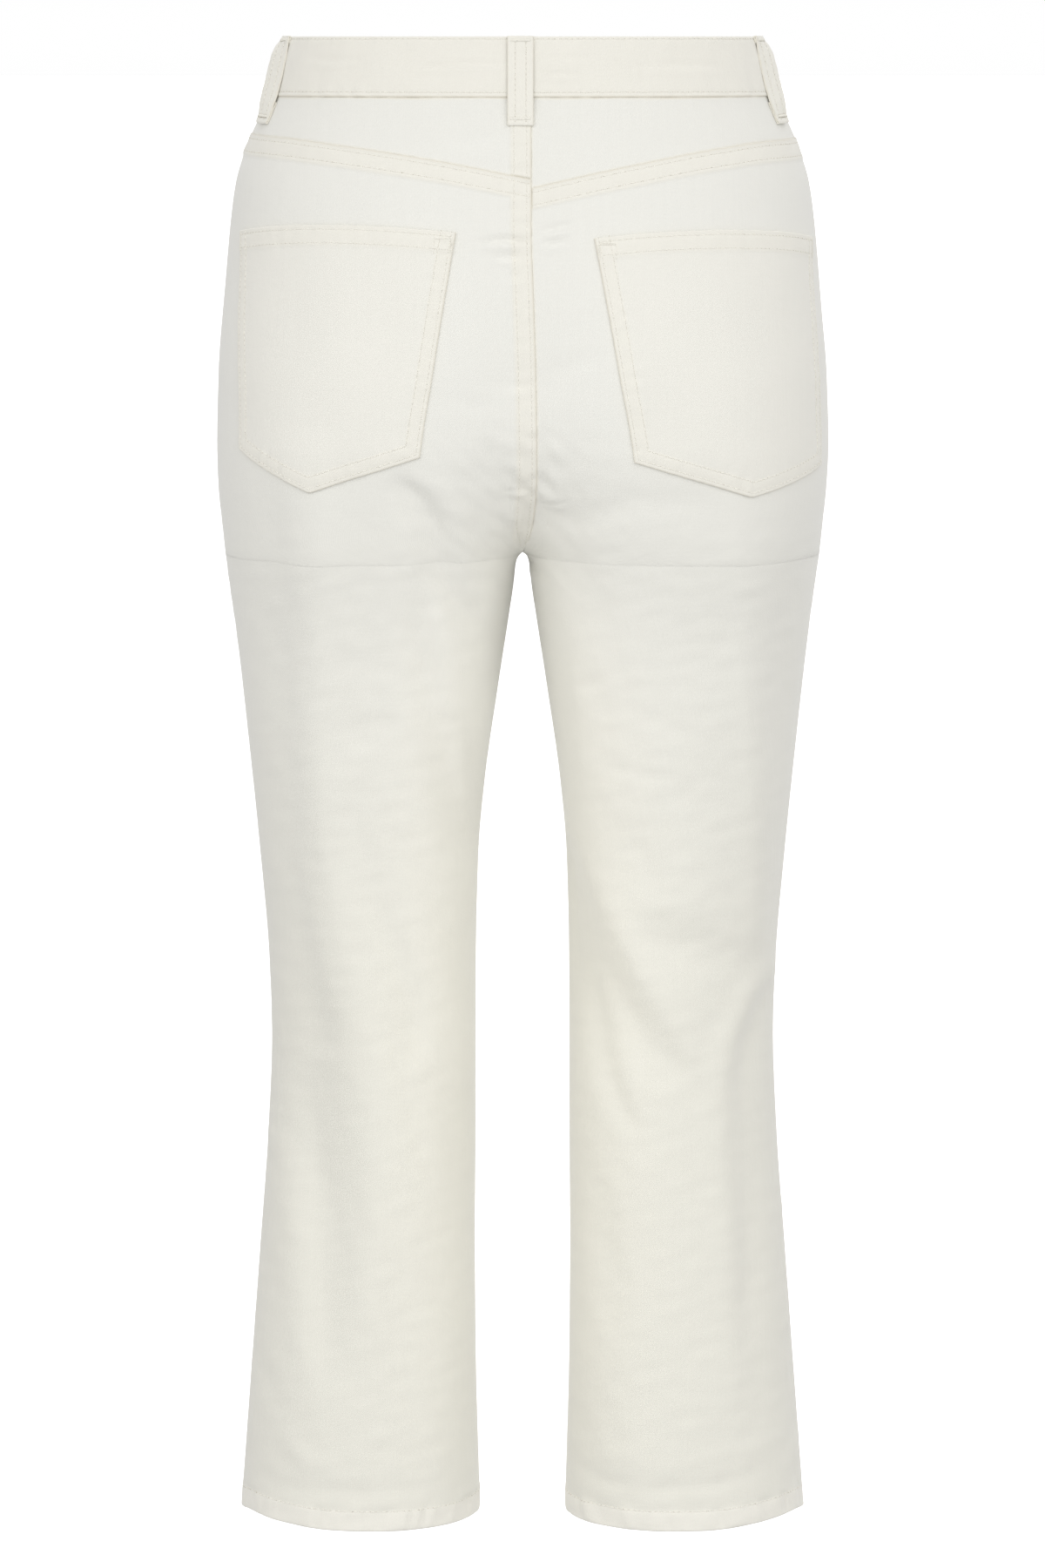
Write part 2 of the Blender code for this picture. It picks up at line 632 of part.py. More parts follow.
def build():
    for old in list(bpy.data.objects):
        bpy.data.objects.remove(old)
    pants = bpy.data.collections.new("capri_pants")
    bpy.context.scene.collection.children.link(pants)
    for side, word in ((LEFT, "left"), (RIGHT, "right")):
        yoke("yoke_" + word, pants, side)
        leg_panel("back_" + word, pants, side, "back")
        leg_panel("front_" + word, pants, side, "front")
        pocket("pocket_" + word, pants, side)
    waistband("waistband", pants)
    for name, row in LOOPS.items():
        belt_loop(name, pants, *row)
    fly_shield("fly_shield", pants)
    button("button", pants)


build()
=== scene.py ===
import math

import bpy
import numpy as np
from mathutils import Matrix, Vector


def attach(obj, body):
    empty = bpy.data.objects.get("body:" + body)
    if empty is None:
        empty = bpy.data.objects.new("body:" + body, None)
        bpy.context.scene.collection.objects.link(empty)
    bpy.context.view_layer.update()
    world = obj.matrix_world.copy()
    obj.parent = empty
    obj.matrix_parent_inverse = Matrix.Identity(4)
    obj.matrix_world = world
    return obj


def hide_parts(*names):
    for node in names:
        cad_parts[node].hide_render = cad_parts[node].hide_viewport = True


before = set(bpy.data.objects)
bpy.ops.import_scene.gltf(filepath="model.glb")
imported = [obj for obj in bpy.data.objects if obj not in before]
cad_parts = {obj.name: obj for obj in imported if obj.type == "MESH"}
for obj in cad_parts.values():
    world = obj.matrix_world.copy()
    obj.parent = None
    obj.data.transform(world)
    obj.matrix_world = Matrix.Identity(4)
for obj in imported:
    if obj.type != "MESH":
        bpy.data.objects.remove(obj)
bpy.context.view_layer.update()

mm = 0.001
left, right = 1.0, -1.0
rng = np.random.default_rng(7)
fineness = 1.0  # how finely the cloth is divided

# The garment's form
# Sizes are millimetres. A drop is measured down from the top of the waistband. An arc is
# measured along the cloth from the centre seam or the inseam towards the side seam.

garment = {
    "bandHeight": 35.0,
    "length": 878.0,
    "crotchDrop": 303.5,
    "seatDrop": 200.0,
    "frontDip": 13.0,  # how far the top edge falls, this far in front of the middle
    "frontDipDepth": 100.0,
    "frontDipFade": 230.0,  # the drop at which that ends
    "crotchFillet": 4.0,  # the valley between the legs at the crotch, and how soon it ends
    "crotchFade": 11.0,
    "riseRoundness": {"back": 2.1, "front": 1.9},  # the power of the centre seam's curve
    "seamFade": 22.0,  # folds die out this near the middle, at the side seam and inseam
}

# A leg's rings. side and inner are its x at the side seam and at the inseam, back and front
# how deep it is from the middle of the body, and square is the power of its superellipse.
sections = {
    "columns": ("drop", "side", "inner", "back", "front", "square"),
    "rows": (
        (0, 139.5, -139.5, 98, 98, 2.25),
        (35, 149.5, -134, 107, 104, 2.20),
        (60, 160.5, -126, 113, 108, 2.20),
        (85, 168.6, -108, 118, 110.5, 2.20),
        (110, 172, -92, 122, 112, 2.20),
        (160, 176.2, -60, 128.5, 113, 2.25),
        (200, 179.2, -36, 131, 112, 2.30),
        (235, 180.1, -19, 129, 108.5, 2.35),
        (262, 179.3, -9, 123, 104, 2.40),
        (285, 177.4, -1.5, 116, 100, 2.40),
        (303.5, 175.5, 4, 109.5, 96.5, 2.40),
        (320, 173.3, 5.1, 104.5, 94, 2.35),
        (340, 170.6, 7.9, 100, 92, 2.30),
        (380, 166.2, 14, 93, 89, 2.20),
        (440, 160, 22.5, 84, 83, 2.15),
        (483, 155.9, 26.2, 78.5, 78, 2.10),
        (545, 150.9, 27.7, 73, 73.5, 2.10),
        (590, 149.5, 27.9, 70.5, 71.5, 2.10),
        (650, 151.9, 28, 69.5, 70.5, 2.10),
        (715, 156.7, 28.4, 69.5, 70.5, 2.10),
        (778, 161.4, 28, 70.5, 71, 2.10),
        (878, 169, 25.5, 72.5, 71.5, 2.10),
    ),
}

# how far the centre seam lies inside the rings, behind and in front
centreDips = {
    "columns": ("drop", "seat", "fly"),
    "rows": ((0, 0, 0), (60, 0, 0), (110, 1.5, 0.3), (160, 5, 1), (200, 10, 4)),
}

# The folds: soft ridges (height above 0) and troughs (below 0), each along a smooth line seen
# square on. x is across, positive on the wearer's left. A fold is as wide on the wearer's
# left and right of its line, going down, as its two widths say, which come before its points
# where they hold all along it.
folds = {
    "columns": ("x", "drop", "leftWidth", "rightWidth", "height"),
    "reach": 2.6,  # a fold adds nothing beyond this many widths
    "blend": 4.0,  # how far from its line one width turns into the other
    "stretches": 5,  # straight stretches between two points of its line
    "back": (
        # left leg: the long outer ridge, and the flank outside it
        ((116, 223, 24, 10, 0), (118, 252, 26, 10, 1.9), (119, 299, 27, 11, 2.8), (120, 351, 27, 11, 3.1),
         (121, 413, 27, 11, 3.4), (119, 460, 26, 11, 3.6), (114, 496, 25, 11, 3.6),
         (109, 527, 24, 11, 3.6), (102, 558, 20, 11, 3.6), (94, 592, 15, 11, 3.1), (88, 625, 13, 12, 3.2),
         (85, 661, 12, 12, 3.4), (85, 698, 12, 12, 3.2), (89, 734, 12, 12, 2.2), (93, 781, 12, 12, 0)),
        ((145, 239, 14, 11, 0), (144, 280, 14, 11, -1.9), (143, 331, 15, 12, -2.6),
         (140, 394, 15, 12, -3), (138, 451, 15, 12, -3.3), (134, 503, 15, 12, -3.4),
         (128, 544, 14, 12, -3.8), (124, 580, 14, 15, -5), (126, 611, 14, 18, -5.6),
         (126, 641, 14, 19, -6.8), (121, 682, 14, 19, -7.6), (119, 719, 14, 18, -6.8),
         (118, 755, 13, 16, -4.8), (110, 802, 12, 12, 0)),
        (6, 6, (134, 603, 0), (119, 600, 1.4), (101, 596, 0)),
        ((148, 632, 9, 9, 0), (140, 666, 10, 9, 1), (133, 711, 11, 9, 1.4), (130, 757, 11, 9, 1.2),
         (128, 808, 10, 9, 0)),
        (4, 4, (152, 659, 0), (150, 665, -0.9), (142, 670, 0)),
        (4.5, 4.5, (161, 778, 0), (156, 789, -0.8), (148, 801, 0)),
        # left leg: creases down the inner thigh
        ((78, 252, 10, 7, 0), (63, 262, 12, 6, -3.8), (51, 280, 12, 6, -4.8), (46, 305, 12, 6, -4.8),
         (38, 324, 12, 6, -4.6), (27, 338, 11, 6, -3.6), (19, 361, 9, 7, 0)),
        (7, 6, (63, 248, 0), (48, 259, 1.1), (35, 279, 1.4), (30, 301, 1.2), (24, 318, 0)),
        ((58, 300, 9, 6, 0), (57, 344, 11, 5, -2.6), (53, 376, 11, 5, -3.2), (47, 416, 9, 6, 0)),
        (6, 7, (48, 314, 0), (45, 342, 1.2), (40, 374, 1.4), (35, 406, 0)),
        ((48, 386, 9, 7, 0), (42, 425, 12, 6, -3.8), (36, 455, 12, 6, -4.4), (29, 492, 9, 6, 0)),
        (5, 5, (32, 398, 0), (28, 428, -2.5), (26, 456, -2.5), (28, 484, 0)),
        (6, 5, (6, 304, 0), (12, 335, -2.8), (15, 361, -2.8), (19, 389, 0)),
        (5, 5, (22, 229, 0), (16, 242, -1.3), (9, 257, -1.4), (4, 274, 0)),
        (5, 5, (30, 238, 0), (22, 253, -0.8), (17, 275, 0)),
        # left leg: the valleys and ridges that cross the knee
        ((89, 423, 8, 9, 0), (97, 451, 9, 9, -1), (93, 477, 9, 10, -1.1), (79, 519, 10, 10, -2.4),
         (68, 548, 11, 7, -3.3), (62, 577, 11, 7, -3.2), (63, 604, 9, 8, 0)),
        ((105, 413, 9, 9, 0), (108, 439, 9, 9, 1.2), (105, 477, 9, 9, 1), (97, 521, 9, 9, 1.1),
         (90, 558, 9, 10, 1.4), (82, 599, 9, 11, 1.6), (73, 646, 9, 12, 1.3), (68, 688, 9, 12, 0.8),
         (63, 741, 9, 12, 0)),
        (8, 7, (51, 518, 0), (42, 556, 1.1), (35, 594, 1.3), (33, 631, 0)),
        (9, 9, (53, 593, 0), (42, 629, -1.1), (40, 668, -1.2), (44, 717, 0)),
        (9, 8, (108, 409, 0), (97, 403, -1.1), (82, 400, -0.9), (70, 401, 0)),
        (6, 6, (116, 366, 0), (97, 362, -0.7), (73, 365, 0)),
        # left leg: above the hem
        (6, 6, (157, 804, 0), (142, 826, 0.7), (123, 839, 0.8), (93, 846, 0)),
        (4.5, 4.5, (161, 852, 0), (139, 854, -0.7), (103, 855, -0.8), (67, 853, -0.6), (36, 850, 0)),
        (4, 4, (93, 830, 0), (67, 834, -0.5), (41, 831, 0)),
        # right leg: the long outer ridge, and the flank outside it
        ((-123, 228, 10, 22, 0), (-124, 261, 10, 24, 1.6), (-127, 305, 10, 24, 2.3),
         (-130, 346, 10, 24, 2.6), (-132, 388, 10, 23, 2.8), (-135, 435, 10, 21, 3.1),
         (-138, 477, 10, 19, 3.2), (-138, 514, 10, 16, 2.6), (-141, 546, 10, 12, 0)),
        ((-156, 296, 11, 13, 0), (-154, 353, 12, 14, -2.3), (-153, 411, 12, 14, -2.8),
         (-152, 464, 12, 14, -3), (-150, 512, 11, 12, -2.6), (-149, 547, 10, 10, 0)),
        ((-149, 541, 8, 8, 0), (-138, 556, 8, 8, 2.2), (-128, 573, 9, 8, 3.2), (-120, 592, 9, 8, 3.3),
         (-116, 613, 10, 9, 3), (-116, 642, 10, 9, 2.4), (-118, 678, 11, 10, 2.1),
         (-121, 725, 11, 10, 1.8), (-125, 772, 11, 10, 1.1), (-129, 813, 10, 10, 0)),
        ((-148, 554, 9, 8, 0), (-141, 571, 9, 8, -2.6), (-135, 592, 9, 8, -3.1), (-132, 618, 9, 9, -2.6),
         (-133, 651, 9, 9, -2.1), (-135, 690, 9, 9, -2.8), (-135, 726, 9, 9, -2.7),
         (-134, 757, 9, 9, -1.9), (-138, 794, 9, 9, -1.2), (-142, 831, 9, 9, 0)),
        # right leg: the deep crease from the inseam across the knee
        ((-33, 450, 8, 14, 0), (-39, 481, 8, 15, 1.5), (-47, 503, 8, 16, 2.1), (-58, 524, 8, 16, 2.4),
         (-70, 544, 8, 16, 2.5), (-80, 562, 8, 14, 2.4), (-91, 581, 8, 12, 1.9), (-101, 597, 8, 10, 1.1),
         (-110, 612, 8, 9, 0)),
        ((-24, 462, 12, 8, 0), (-28, 493, 16, 10, -3), (-33, 517, 20, 12, -4.3), (-39, 537, 22, 13, -5.2),
         (-48, 554, 22, 13, -5.6), (-59, 571, 22, 13, -5.4), (-70, 586, 20, 12, -4.4),
         (-83, 600, 15, 10, -2.8), (-96, 612, 10, 8, 0)),
        ((-63, 523, 14, 10, 0), (-81, 528, 16, 11, -2.1), (-102, 532, 16, 11, -2.4),
         (-121, 538, 14, 11, -2), (-137, 550, 11, 9, 0)),
        (9, 9, (-54, 498, 0), (-72, 504, 0.9), (-97, 506, 0.9), (-120, 513, 0)),
        ((-30, 524, 7, 6, 0), (-35, 552, 7, 6, -1.8), (-41, 579, 7, 7, -2.6), (-50, 607, 7, 7, -2.6),
         (-58, 627, 7, 6, -1.8), (-69, 645, 7, 6, 0)),
        (7, 8, (-42, 546, 0), (-51, 573, 0.2), (-60, 595, 0.3), (-71, 621, 0.4), (-81, 647, 0)),
        (9, 10, (-45, 670, 0), (-48, 706, -1.1), (-53, 742, -1.2), (-54, 778, 0)),
        (7, 7, (-33, 668, 0), (-35, 709, 0.7), (-38, 760, 0)),
        # right leg: thin creases across the thigh, and the turn to the inseam
        (2.8, 2.8, (-45, 425, 0), (-58, 426, -0.9), (-76, 428, -0.8), (-99, 430, 0)),
        (3.2, 3.2, (-77, 444, 0), (-92, 441, -0.8), (-109, 436, 0)),
        (4, 4, (-29, 380, 0), (-39, 376, -1), (-51, 374, 0)),
        (4, 4, (-51, 383, 0), (-75, 395, -0.6), (-91, 400, -0.6), (-105, 406, 0)),
        ((-24, 301, 6, 11, 0), (-28, 332, 6, 12, 1), (-33, 374, 6, 12, 1.3), (-36, 415, 6, 11, 1.2),
         (-37, 452, 6, 10, 0)),
        ((-3, 259, 7, 7, 0), (-11, 276, 8, 7, -2.1), (-24, 279, 9, 8, -2.1), (-43, 273, 9, 9, -1.7),
         (-66, 267, 9, 9, -1.3), (-92, 267, 8, 8, -0.9), (-113, 275, 8, 8, 0)),
        (8, 8, (-23, 292, 0), (-34, 311, -0.9), (-42, 331, -0.9), (-46, 350, 0)),
        (5, 5, (-51, 456, 0), (-66, 470, -0.5), (-77, 489, -0.5), (-83, 506, 0)),
        # right leg: above the hem
        (4.5, 4, (-27, 836, 0), (-39, 848, -0.8), (-67, 854, -0.9), (-103, 852, -0.9), (-134, 847, -0.8),
         (-160, 838, 0)),
        (5, 5, (-31, 826, 0), (-46, 836, 0.5), (-82, 838, 0.6), (-124, 835, 0.5), (-153, 823, 0)),
        # the soft fullness under the seat
        ((150, 302, 30, 30, 0), (112, 309, 32, 32, 1.8), (62, 312, 32, 32, 2), (30, 310, 26, 26, 0)),
        ((158, 324, 26, 14, 0), (142, 320, 30, 16, 0.6), (112, 309, 36, 16, 0.2), (62, 303, 40, 15, 0.5),
         (34, 302, 36, 14, 0.5), (18, 301, 26, 10, 0)),
        ((-28, 308, 26, 26, 0), (-60, 311, 32, 32, 2), (-108, 310, 32, 32, 2.4), (-148, 303, 30, 30, 0)),
        ((-18, 301, 10, 26, 0), (-34, 302, 14, 36, 0.5), (-62, 303, 15, 40, 0.5),
         (-112, 309, 16, 36, 0.3), (-142, 320, 16, 30, 0.7), (-158, 324, 14, 26, 0)),
        # the seat
        (6, 6, (-7, 196, 0), (-27, 189, -0.8), (-52, 179, 0)),
        (6, 6, (60, 204, 0), (30, 210, -0.5), (4, 213, 0)),
    ),
    "front": (
        # creases from the crotch towards the hips
        ((8, 276, 5, 6, 0), (30, 264, 6, 7, -2.2), (56, 250, 6, 7, -1.8), (84, 232, 6, 7, 0)),
        ((-9, 280, 6, 5, 0), (-34, 270, 7, 6, -2.3), (-60, 256, 7, 6, -1.8), (-92, 236, 7, 6, 0)),
        ((14, 246, 6, 7, 0), (46, 232, 7, 8, -1.6), (78, 220, 7, 8, -1.4), (108, 206, 7, 8, 0)),
        ((-20, 238, 7, 6, 0), (-52, 226, 8, 7, -1.8), (-88, 206, 8, 7, -1.2), (-112, 190, 7, 7, 0)),
        ((10, 296, 5, 6, 0), (26, 300, 6, 7, -1.6), (46, 292, 6, 7, -1.1), (66, 278, 6, 7, 0)),
        # long outer ridges
        ((117, 262, 26, 11, 0), (121, 340, 27, 12, 2.4), (119, 430, 26, 12, 3), (112, 510, 22, 12, 2.7),
         (108, 590, 16, 12, 0)),
        ((-119, 258, 11, 26, 0), (-125, 340, 12, 25, 2.3), (-128, 430, 12, 22, 2.7),
         (-124, 510, 12, 18, 2.2), (-120, 570, 12, 14, 0)),
        # soft troughs down the thighs
        ((40, 312, 9, 9, 0), (50, 360, 10, 10, -1.9), (57, 410, 10, 10, -1.6), (60, 450, 9, 9, 0)),
        ((-36, 316, 9, 9, 0), (-52, 366, 10, 10, -2), (-66, 420, 10, 10, -1.6), (-72, 456, 9, 9, 0)),
        # creases at the knees
        ((36, 486, 8, 7, 0), (62, 502, 9, 7, -3.1), (92, 522, 9, 7, -2.7), (128, 556, 9, 7, 0)),
        ((40, 556, 8, 7, 0), (66, 572, 9, 7, -2.4), (92, 594, 9, 7, -1.9), (116, 622, 9, 7, 0)),
        ((62, 470, 11, 11, 0), (92, 488, 13, 12, 1.9), (120, 512, 12, 12, 0)),
        ((-40, 484, 7, 8, 0), (-68, 494, 7, 9, -3), (-98, 512, 7, 9, -2.4), (-130, 542, 7, 9, 0)),
        ((-44, 560, 7, 8, 0), (-72, 568, 7, 9, -2.3), (-100, 580, 7, 9, -1.8), (-132, 600, 7, 9, 0)),
        # calves
        ((134, 632, 12, 10, 0), (118, 676, 12, 11, -2.2), (98, 724, 12, 11, -1.8), (86, 770, 11, 10, 0)),
        ((-92, 640, 11, 12, 0), (-102, 690, 11, 12, -2.2), (-114, 744, 11, 12, -1.6),
         (-122, 794, 10, 11, 0)),
        ((60, 690, 10, 10, 0), (58, 740, 11, 11, 1.2), (64, 800, 10, 10, 0)),
        ((-58, 660, 10, 10, 0), (-62, 720, 11, 11, 1.4), (-70, 790, 10, 10, 0)),
        ((150, 830, 5, 5, 0), (120, 846, 6, 6, -0.9), (84, 842, 5, 5, 0)),
        ((-60, 846, 5, 5, 0), (-96, 850, 6, 6, -0.9), (-138, 838, 5, 5, 0)),
    ),
}


def tableColumn(table, name):
    place = table["columns"].index(name)
    return np.array([row[place] for row in table["rows"]], float)


def curveThrough(x, xs, ys):
    # cubic pieces between the points, which meet at the harmonic mean of the slopes beside
    # them, or level at a peak, so that nothing overshoots
    x = np.clip(np.asarray(x, float), xs[0], xs[-1])
    step = np.diff(xs)
    slope = np.diff(ys) / step
    before, after = slope[:-1], slope[1:]
    rising = before * after > 0
    middle = np.where(rising, 2 * before * after / np.where(rising, before + after, 1.0), 0.0)
    tangent = np.concatenate(([slope[0]], middle, [slope[-1]]))
    i = np.clip(np.searchsorted(xs, x) - 1, 0, len(xs) - 2)
    t = (x - xs[i]) / step[i]
    start = (2 * t**3 - 3 * t**2 + 1) * ys[i] + (t**3 - 2 * t**2 + t) * step[i] * tangent[i]
    end = (3 * t**2 - 2 * t**3) * ys[i + 1] + (t**3 - t**2) * step[i] * tangent[i + 1]
    return start + end


def readTable(table, name, x):
    first = tableColumn(table, table["columns"][0])
    return curveThrough(x, first, tableColumn(table, name))


def smoothStep(x, low, high):
    t = np.clip((x - low) / (high - low), 0, 1)
    return t * t * (3 - 2 * t)


def ovals(drop):
    # a leg's oval: its centre, half width, middle depth and half depth
    side, inner = readTable(sections, "side", drop), readTable(sections, "inner", drop)
    back, front = readTable(sections, "back", drop), readTable(sections, "front", drop)
    return (side + inner) / 2, (side - inner) / 2, (back - front) / 2, (back + front) / 2


def centreDepth(drop, face):
    # depth of the centre seam: a shallow dip to the seat, then (1 - part^n)^(1/n) to the crotch
    name = "seat" if face == "back" else "fly"
    depth = ovals(drop)[3]
    dip = readTable(centreDips, name, drop)
    full = ovals(np.full(1, garment["seatDrop"]))[3][0] - tableColumn(centreDips, name)[-1]
    reach = garment["crotchDrop"] - garment["seatDrop"]
    part = np.clip((drop - garment["seatDrop"]) / reach, 0, 1)
    power = garment["riseRoundness"][face]
    rise = full * (1 - part**power) ** (1 / power)
    return np.where(drop < garment["seatDrop"], depth - dip, np.minimum(rise, depth))


def legRings(drop, face, samples):
    # superellipse |u|^n + |v|^n = 1 in a stretched width u, with x = sqrt(u^2 - valley^2) scaled
    # to keep its side, which rounds the valley between the legs; gives x, y and the arc length
    centre, half, middle, depth = ovals(drop)
    power = readTable(sections, "square", drop)
    part = np.clip(centreDepth(drop, face) / depth, 0, 1)
    above = centre - half * (1 - part**power) ** (1 / power)
    inner, side = readTable(sections, "inner", drop), readTable(sections, "side", drop)
    fade = np.exp(-(drop - garment["crotchDrop"]) / garment["crotchFade"])
    below = np.minimum(garment["crotchFillet"] * fade, inner)
    valley = np.where(drop < garment["crotchDrop"], above, below)
    start = np.maximum(valley, inner)
    first = np.arccos(np.clip((centre - start) / half, 0, 1) ** (power / 2))
    first = np.where(centre < start, math.pi / 2, first)
    angle = first[:, None] + (math.pi - first[:, None]) * np.linspace(0, 1, samples) ** 2
    cos, sin = np.cos(angle), np.abs(np.sin(angle))
    u = centre[:, None] - half[:, None] * np.sign(cos) * np.abs(cos) ** (2 / power[:, None])
    y = depth[:, None] * sin ** (2 / power[:, None])
    scale = side / np.sqrt(np.maximum(side**2 - valley**2, 1.0))
    x = np.sqrt(np.maximum(u**2 - valley[:, None] ** 2, 0)) * scale[:, None]
    x[:, 0] = np.where(drop < garment["crotchDrop"], 0, x[:, 0])
    y[:, -1] = 0
    length = np.hypot(np.diff(x, axis=1), np.diff(y, axis=1)).cumsum(axis=1)
    length = np.concatenate([np.zeros((len(drop), 1)), length], axis=1)
    return x, middle[:, None] + (y if face == "back" else -y), length


# the rings are evenly spaced, and ever closer within a few millimetres of the crotch
rings = {"samples": 240, "spacing": 0.25, "margin": 4.0, "near": 6.0, "nearest": 1e-4, "nearCount": 110}
nearCrotch = np.geomspace(rings["near"], rings["nearest"], rings["nearCount"])
ringDrops = np.concatenate([
    np.arange(-rings["margin"], garment["crotchDrop"] - rings["near"] - 0.1, rings["spacing"]),
    garment["crotchDrop"] - nearCrotch,
    garment["crotchDrop"] + nearCrotch[::-1] - rings["nearest"],
    np.arange(garment["crotchDrop"] + rings["near"] + rings["spacing"],
              garment["length"] + rings["margin"], rings["spacing"]),
])
ringTable = {face: legRings(ringDrops, face, rings["samples"]) for face in ("back", "front")}


def girthOf(drop, face):
    # the arc length from the centre seam or the inseam to the side seam
    return np.interp(drop, ringDrops, ringTable[face][2][:, -1])


def plainSurface(drop, arc, face):
    # the points as far from the side seam on the rings above and below, blended by the drop
    drop, arc = np.broadcast_arrays(np.asarray(drop, float), np.asarray(arc, float))
    flatDrop, flatArc = drop.ravel(), arc.ravel()
    fromSide = girthOf(flatDrop, face) - flatArc
    upper = flatDrop < garment["crotchDrop"]
    x, y, length = ringTable[face]
    stride = 1000.0  # longer than any ring, so that one rising list holds all their lengths
    keys = (length + stride * np.arange(len(length))[:, None]).ravel()
    level = np.clip(np.searchsorted(ringDrops, flatDrop) - 1, 0, len(ringDrops) - 2)
    share = np.clip((flatDrop - ringDrops[level]) / np.diff(ringDrops)[level], 0, 1)
    points = np.zeros((len(flatDrop), 2))
    for ring, weight in ((level, 1 - share), (level + 1, share)):
        ringArc = length[ring, -1] - fromSide
        past = np.where(upper & (ringArc < 0), -1, 1)
        reach = np.minimum(np.where(upper, np.abs(ringArc), np.maximum(ringArc, 0)), length[ring, -1])
        i = np.searchsorted(keys, reach + stride * ring) - ring * rings["samples"] - 1
        i = np.clip(i, 0, rings["samples"] - 2)
        t = (reach - length[ring, i]) / np.maximum(length[ring, i + 1] - length[ring, i], 1e-9)
        t = np.clip(t, 0, 1)
        points[:, 0] += weight * (x[ring, i] + (x[ring, i + 1] - x[ring, i]) * t) * past
        points[:, 1] += weight * (y[ring, i] + (y[ring, i + 1] - y[ring, i]) * t)
    height = garment["bandHeight"] / 2 - flatDrop
    return np.column_stack([points, height]).reshape(*drop.shape, 3)


def outwardNormals(drop, arc, face):
    # the cross product of steps of up to half a millimetre across the plain surface and down
    # it, at the same distance from the side seam; a step down never passes the crotch
    half, crotch = 0.5, garment["crotchDrop"]
    fromSide = girthOf(drop, face) - arc
    above = drop < crotch
    step = np.clip(0.3 * (crotch - drop), 0.003, half)
    upper = np.where(above, drop - step, np.maximum(drop - half, crotch))
    lower = np.where(above, np.minimum(drop + step, crotch - 1e-4), drop + half)
    down = plainSurface(lower, girthOf(lower, face) - fromSide, face)
    down = down - plainSurface(upper, girthOf(upper, face) - fromSide, face)
    across = plainSurface(drop, arc + half, face) - plainSurface(drop, arc - half, face)
    normal = np.cross(down, across) * (1 if face == "front" else -1)
    return normal / np.maximum(np.linalg.norm(normal, axis=-1, keepdims=True), 1e-9)


def foldPoints(fold):
    # a row for each point, with both widths
    if np.ndim(fold[0]):
        return np.array(fold, float)
    return np.array([(x, drop, *fold[:2], height) for x, drop, height in fold[2:]], float)


def nearest(line, across, down, reach):
    # for the places within reach of a line of points: the distance to it, the nearest point on
    # it, counted in the line's own points, and how far a place lies to one side of it
    lineAcross, lineDown = line
    close = (across > lineAcross.min() - reach) & (across < lineAcross.max() + reach)
    close &= (down > lineDown.min() - reach) & (down < lineDown.max() + reach)
    across, down = across[close], down[close]
    distance, along, aside = (np.full(across.shape, far) for far in (1e3, 0.0, 0.0))
    for i in range(len(lineAcross) - 1):
        runAcross, runDown = lineAcross[i + 1] - lineAcross[i], lineDown[i + 1] - lineDown[i]
        awayAcross, awayDown = across - lineAcross[i], down - lineDown[i]
        run = math.hypot(runAcross, runDown)
        t = np.clip((awayAcross * runAcross + awayDown * runDown) / run**2, 0, 1)
        away = np.hypot(awayAcross - t * runAcross, awayDown - t * runDown)
        closer = away < distance
        distance, along = np.where(closer, away, distance), np.where(closer, i + t, along)
        aside = np.where(closer, (awayAcross * runDown - awayDown * runAcross) / run, aside)
    return close, distance, along, aside


def foldHeight(x, drop, face):
    # height * exp(-(distance / width)^2) about each fold's line, with both read along it
    total = np.zeros_like(x)
    for fold in folds[face]:
        rows = foldPoints(fold)
        fine = np.linspace(0, len(rows) - 1, folds["stretches"] * (len(rows) - 1) + 1)
        columns = (curveThrough(fine, np.arange(len(rows)), column) for column in rows.T)
        line = dict(zip(folds["columns"], columns))
        reach = folds["reach"] * max(line["leftWidth"].max(), line["rightWidth"].max())
        close, distance, along, onLeft = nearest((line["x"], line["drop"]), x, drop, reach)
        leftWidth, rightWidth, height = (np.interp(along, np.arange(len(fine)), line[key])
                                         for key in ("leftWidth", "rightWidth", "height"))
        share = smoothStep(onLeft, -folds["blend"], folds["blend"])
        width = rightWidth + (leftWidth - rightWidth) * share
        total[close] += height * np.exp(-((distance / width) ** 2))
    return total


def creaseHeight(x, drop, face):
    # leaf-shaped creases: a bowed line whose depth and width swell to the middle and die out
    # at both ends, with a low ridge along one side
    height = np.zeros_like(x)
    ends = creases["ends"]
    for x0, drop0, x1, drop1, bow, width, depth in creases[face]:
        run = np.array([x1 - x0, drop1 - drop0])
        size = np.hypot(*run)
        t = ((x - x0) * run[0] + (drop - drop0) * run[1]) / size**2
        away = ((x - x0) * run[1] - (drop - drop0) * run[0]) / size
        inside = np.clip(t, 0, 1)
        swell = np.sin(math.pi * inside)
        away = away - bow * swell
        spread = width * (ends + (1 - ends) * swell)
        trough = np.exp(-((away / spread) ** 2))
        fromRidge = away - creases["ridgeAway"] * spread
        ridge = creases["ridge"] * np.exp(-((fromRidge / (creases["ridgeWidth"] * spread)) ** 2))
        height += depth * swell ** creases["swell"] * (trough - ridge) * ((t > 0) & (t < 1))
    return height


def softNoise(u, v, size, seed, waves=9):
    # a sum of sine waves of about one wavelength in all directions, from -1 to 1 or so
    random = np.random.default_rng(seed)
    total = np.zeros(np.broadcast(u, v).shape)
    for _ in range(waves):
        turn = random.uniform(0, math.pi)
        wavelength = size * random.uniform(0.7, 1.5)
        phase = random.uniform(0, 2 * math.pi)
        total += np.sin(2 * math.pi * (u * math.cos(turn) + v * math.sin(turn)) / wavelength + phase)
    return total / math.sqrt(waves)


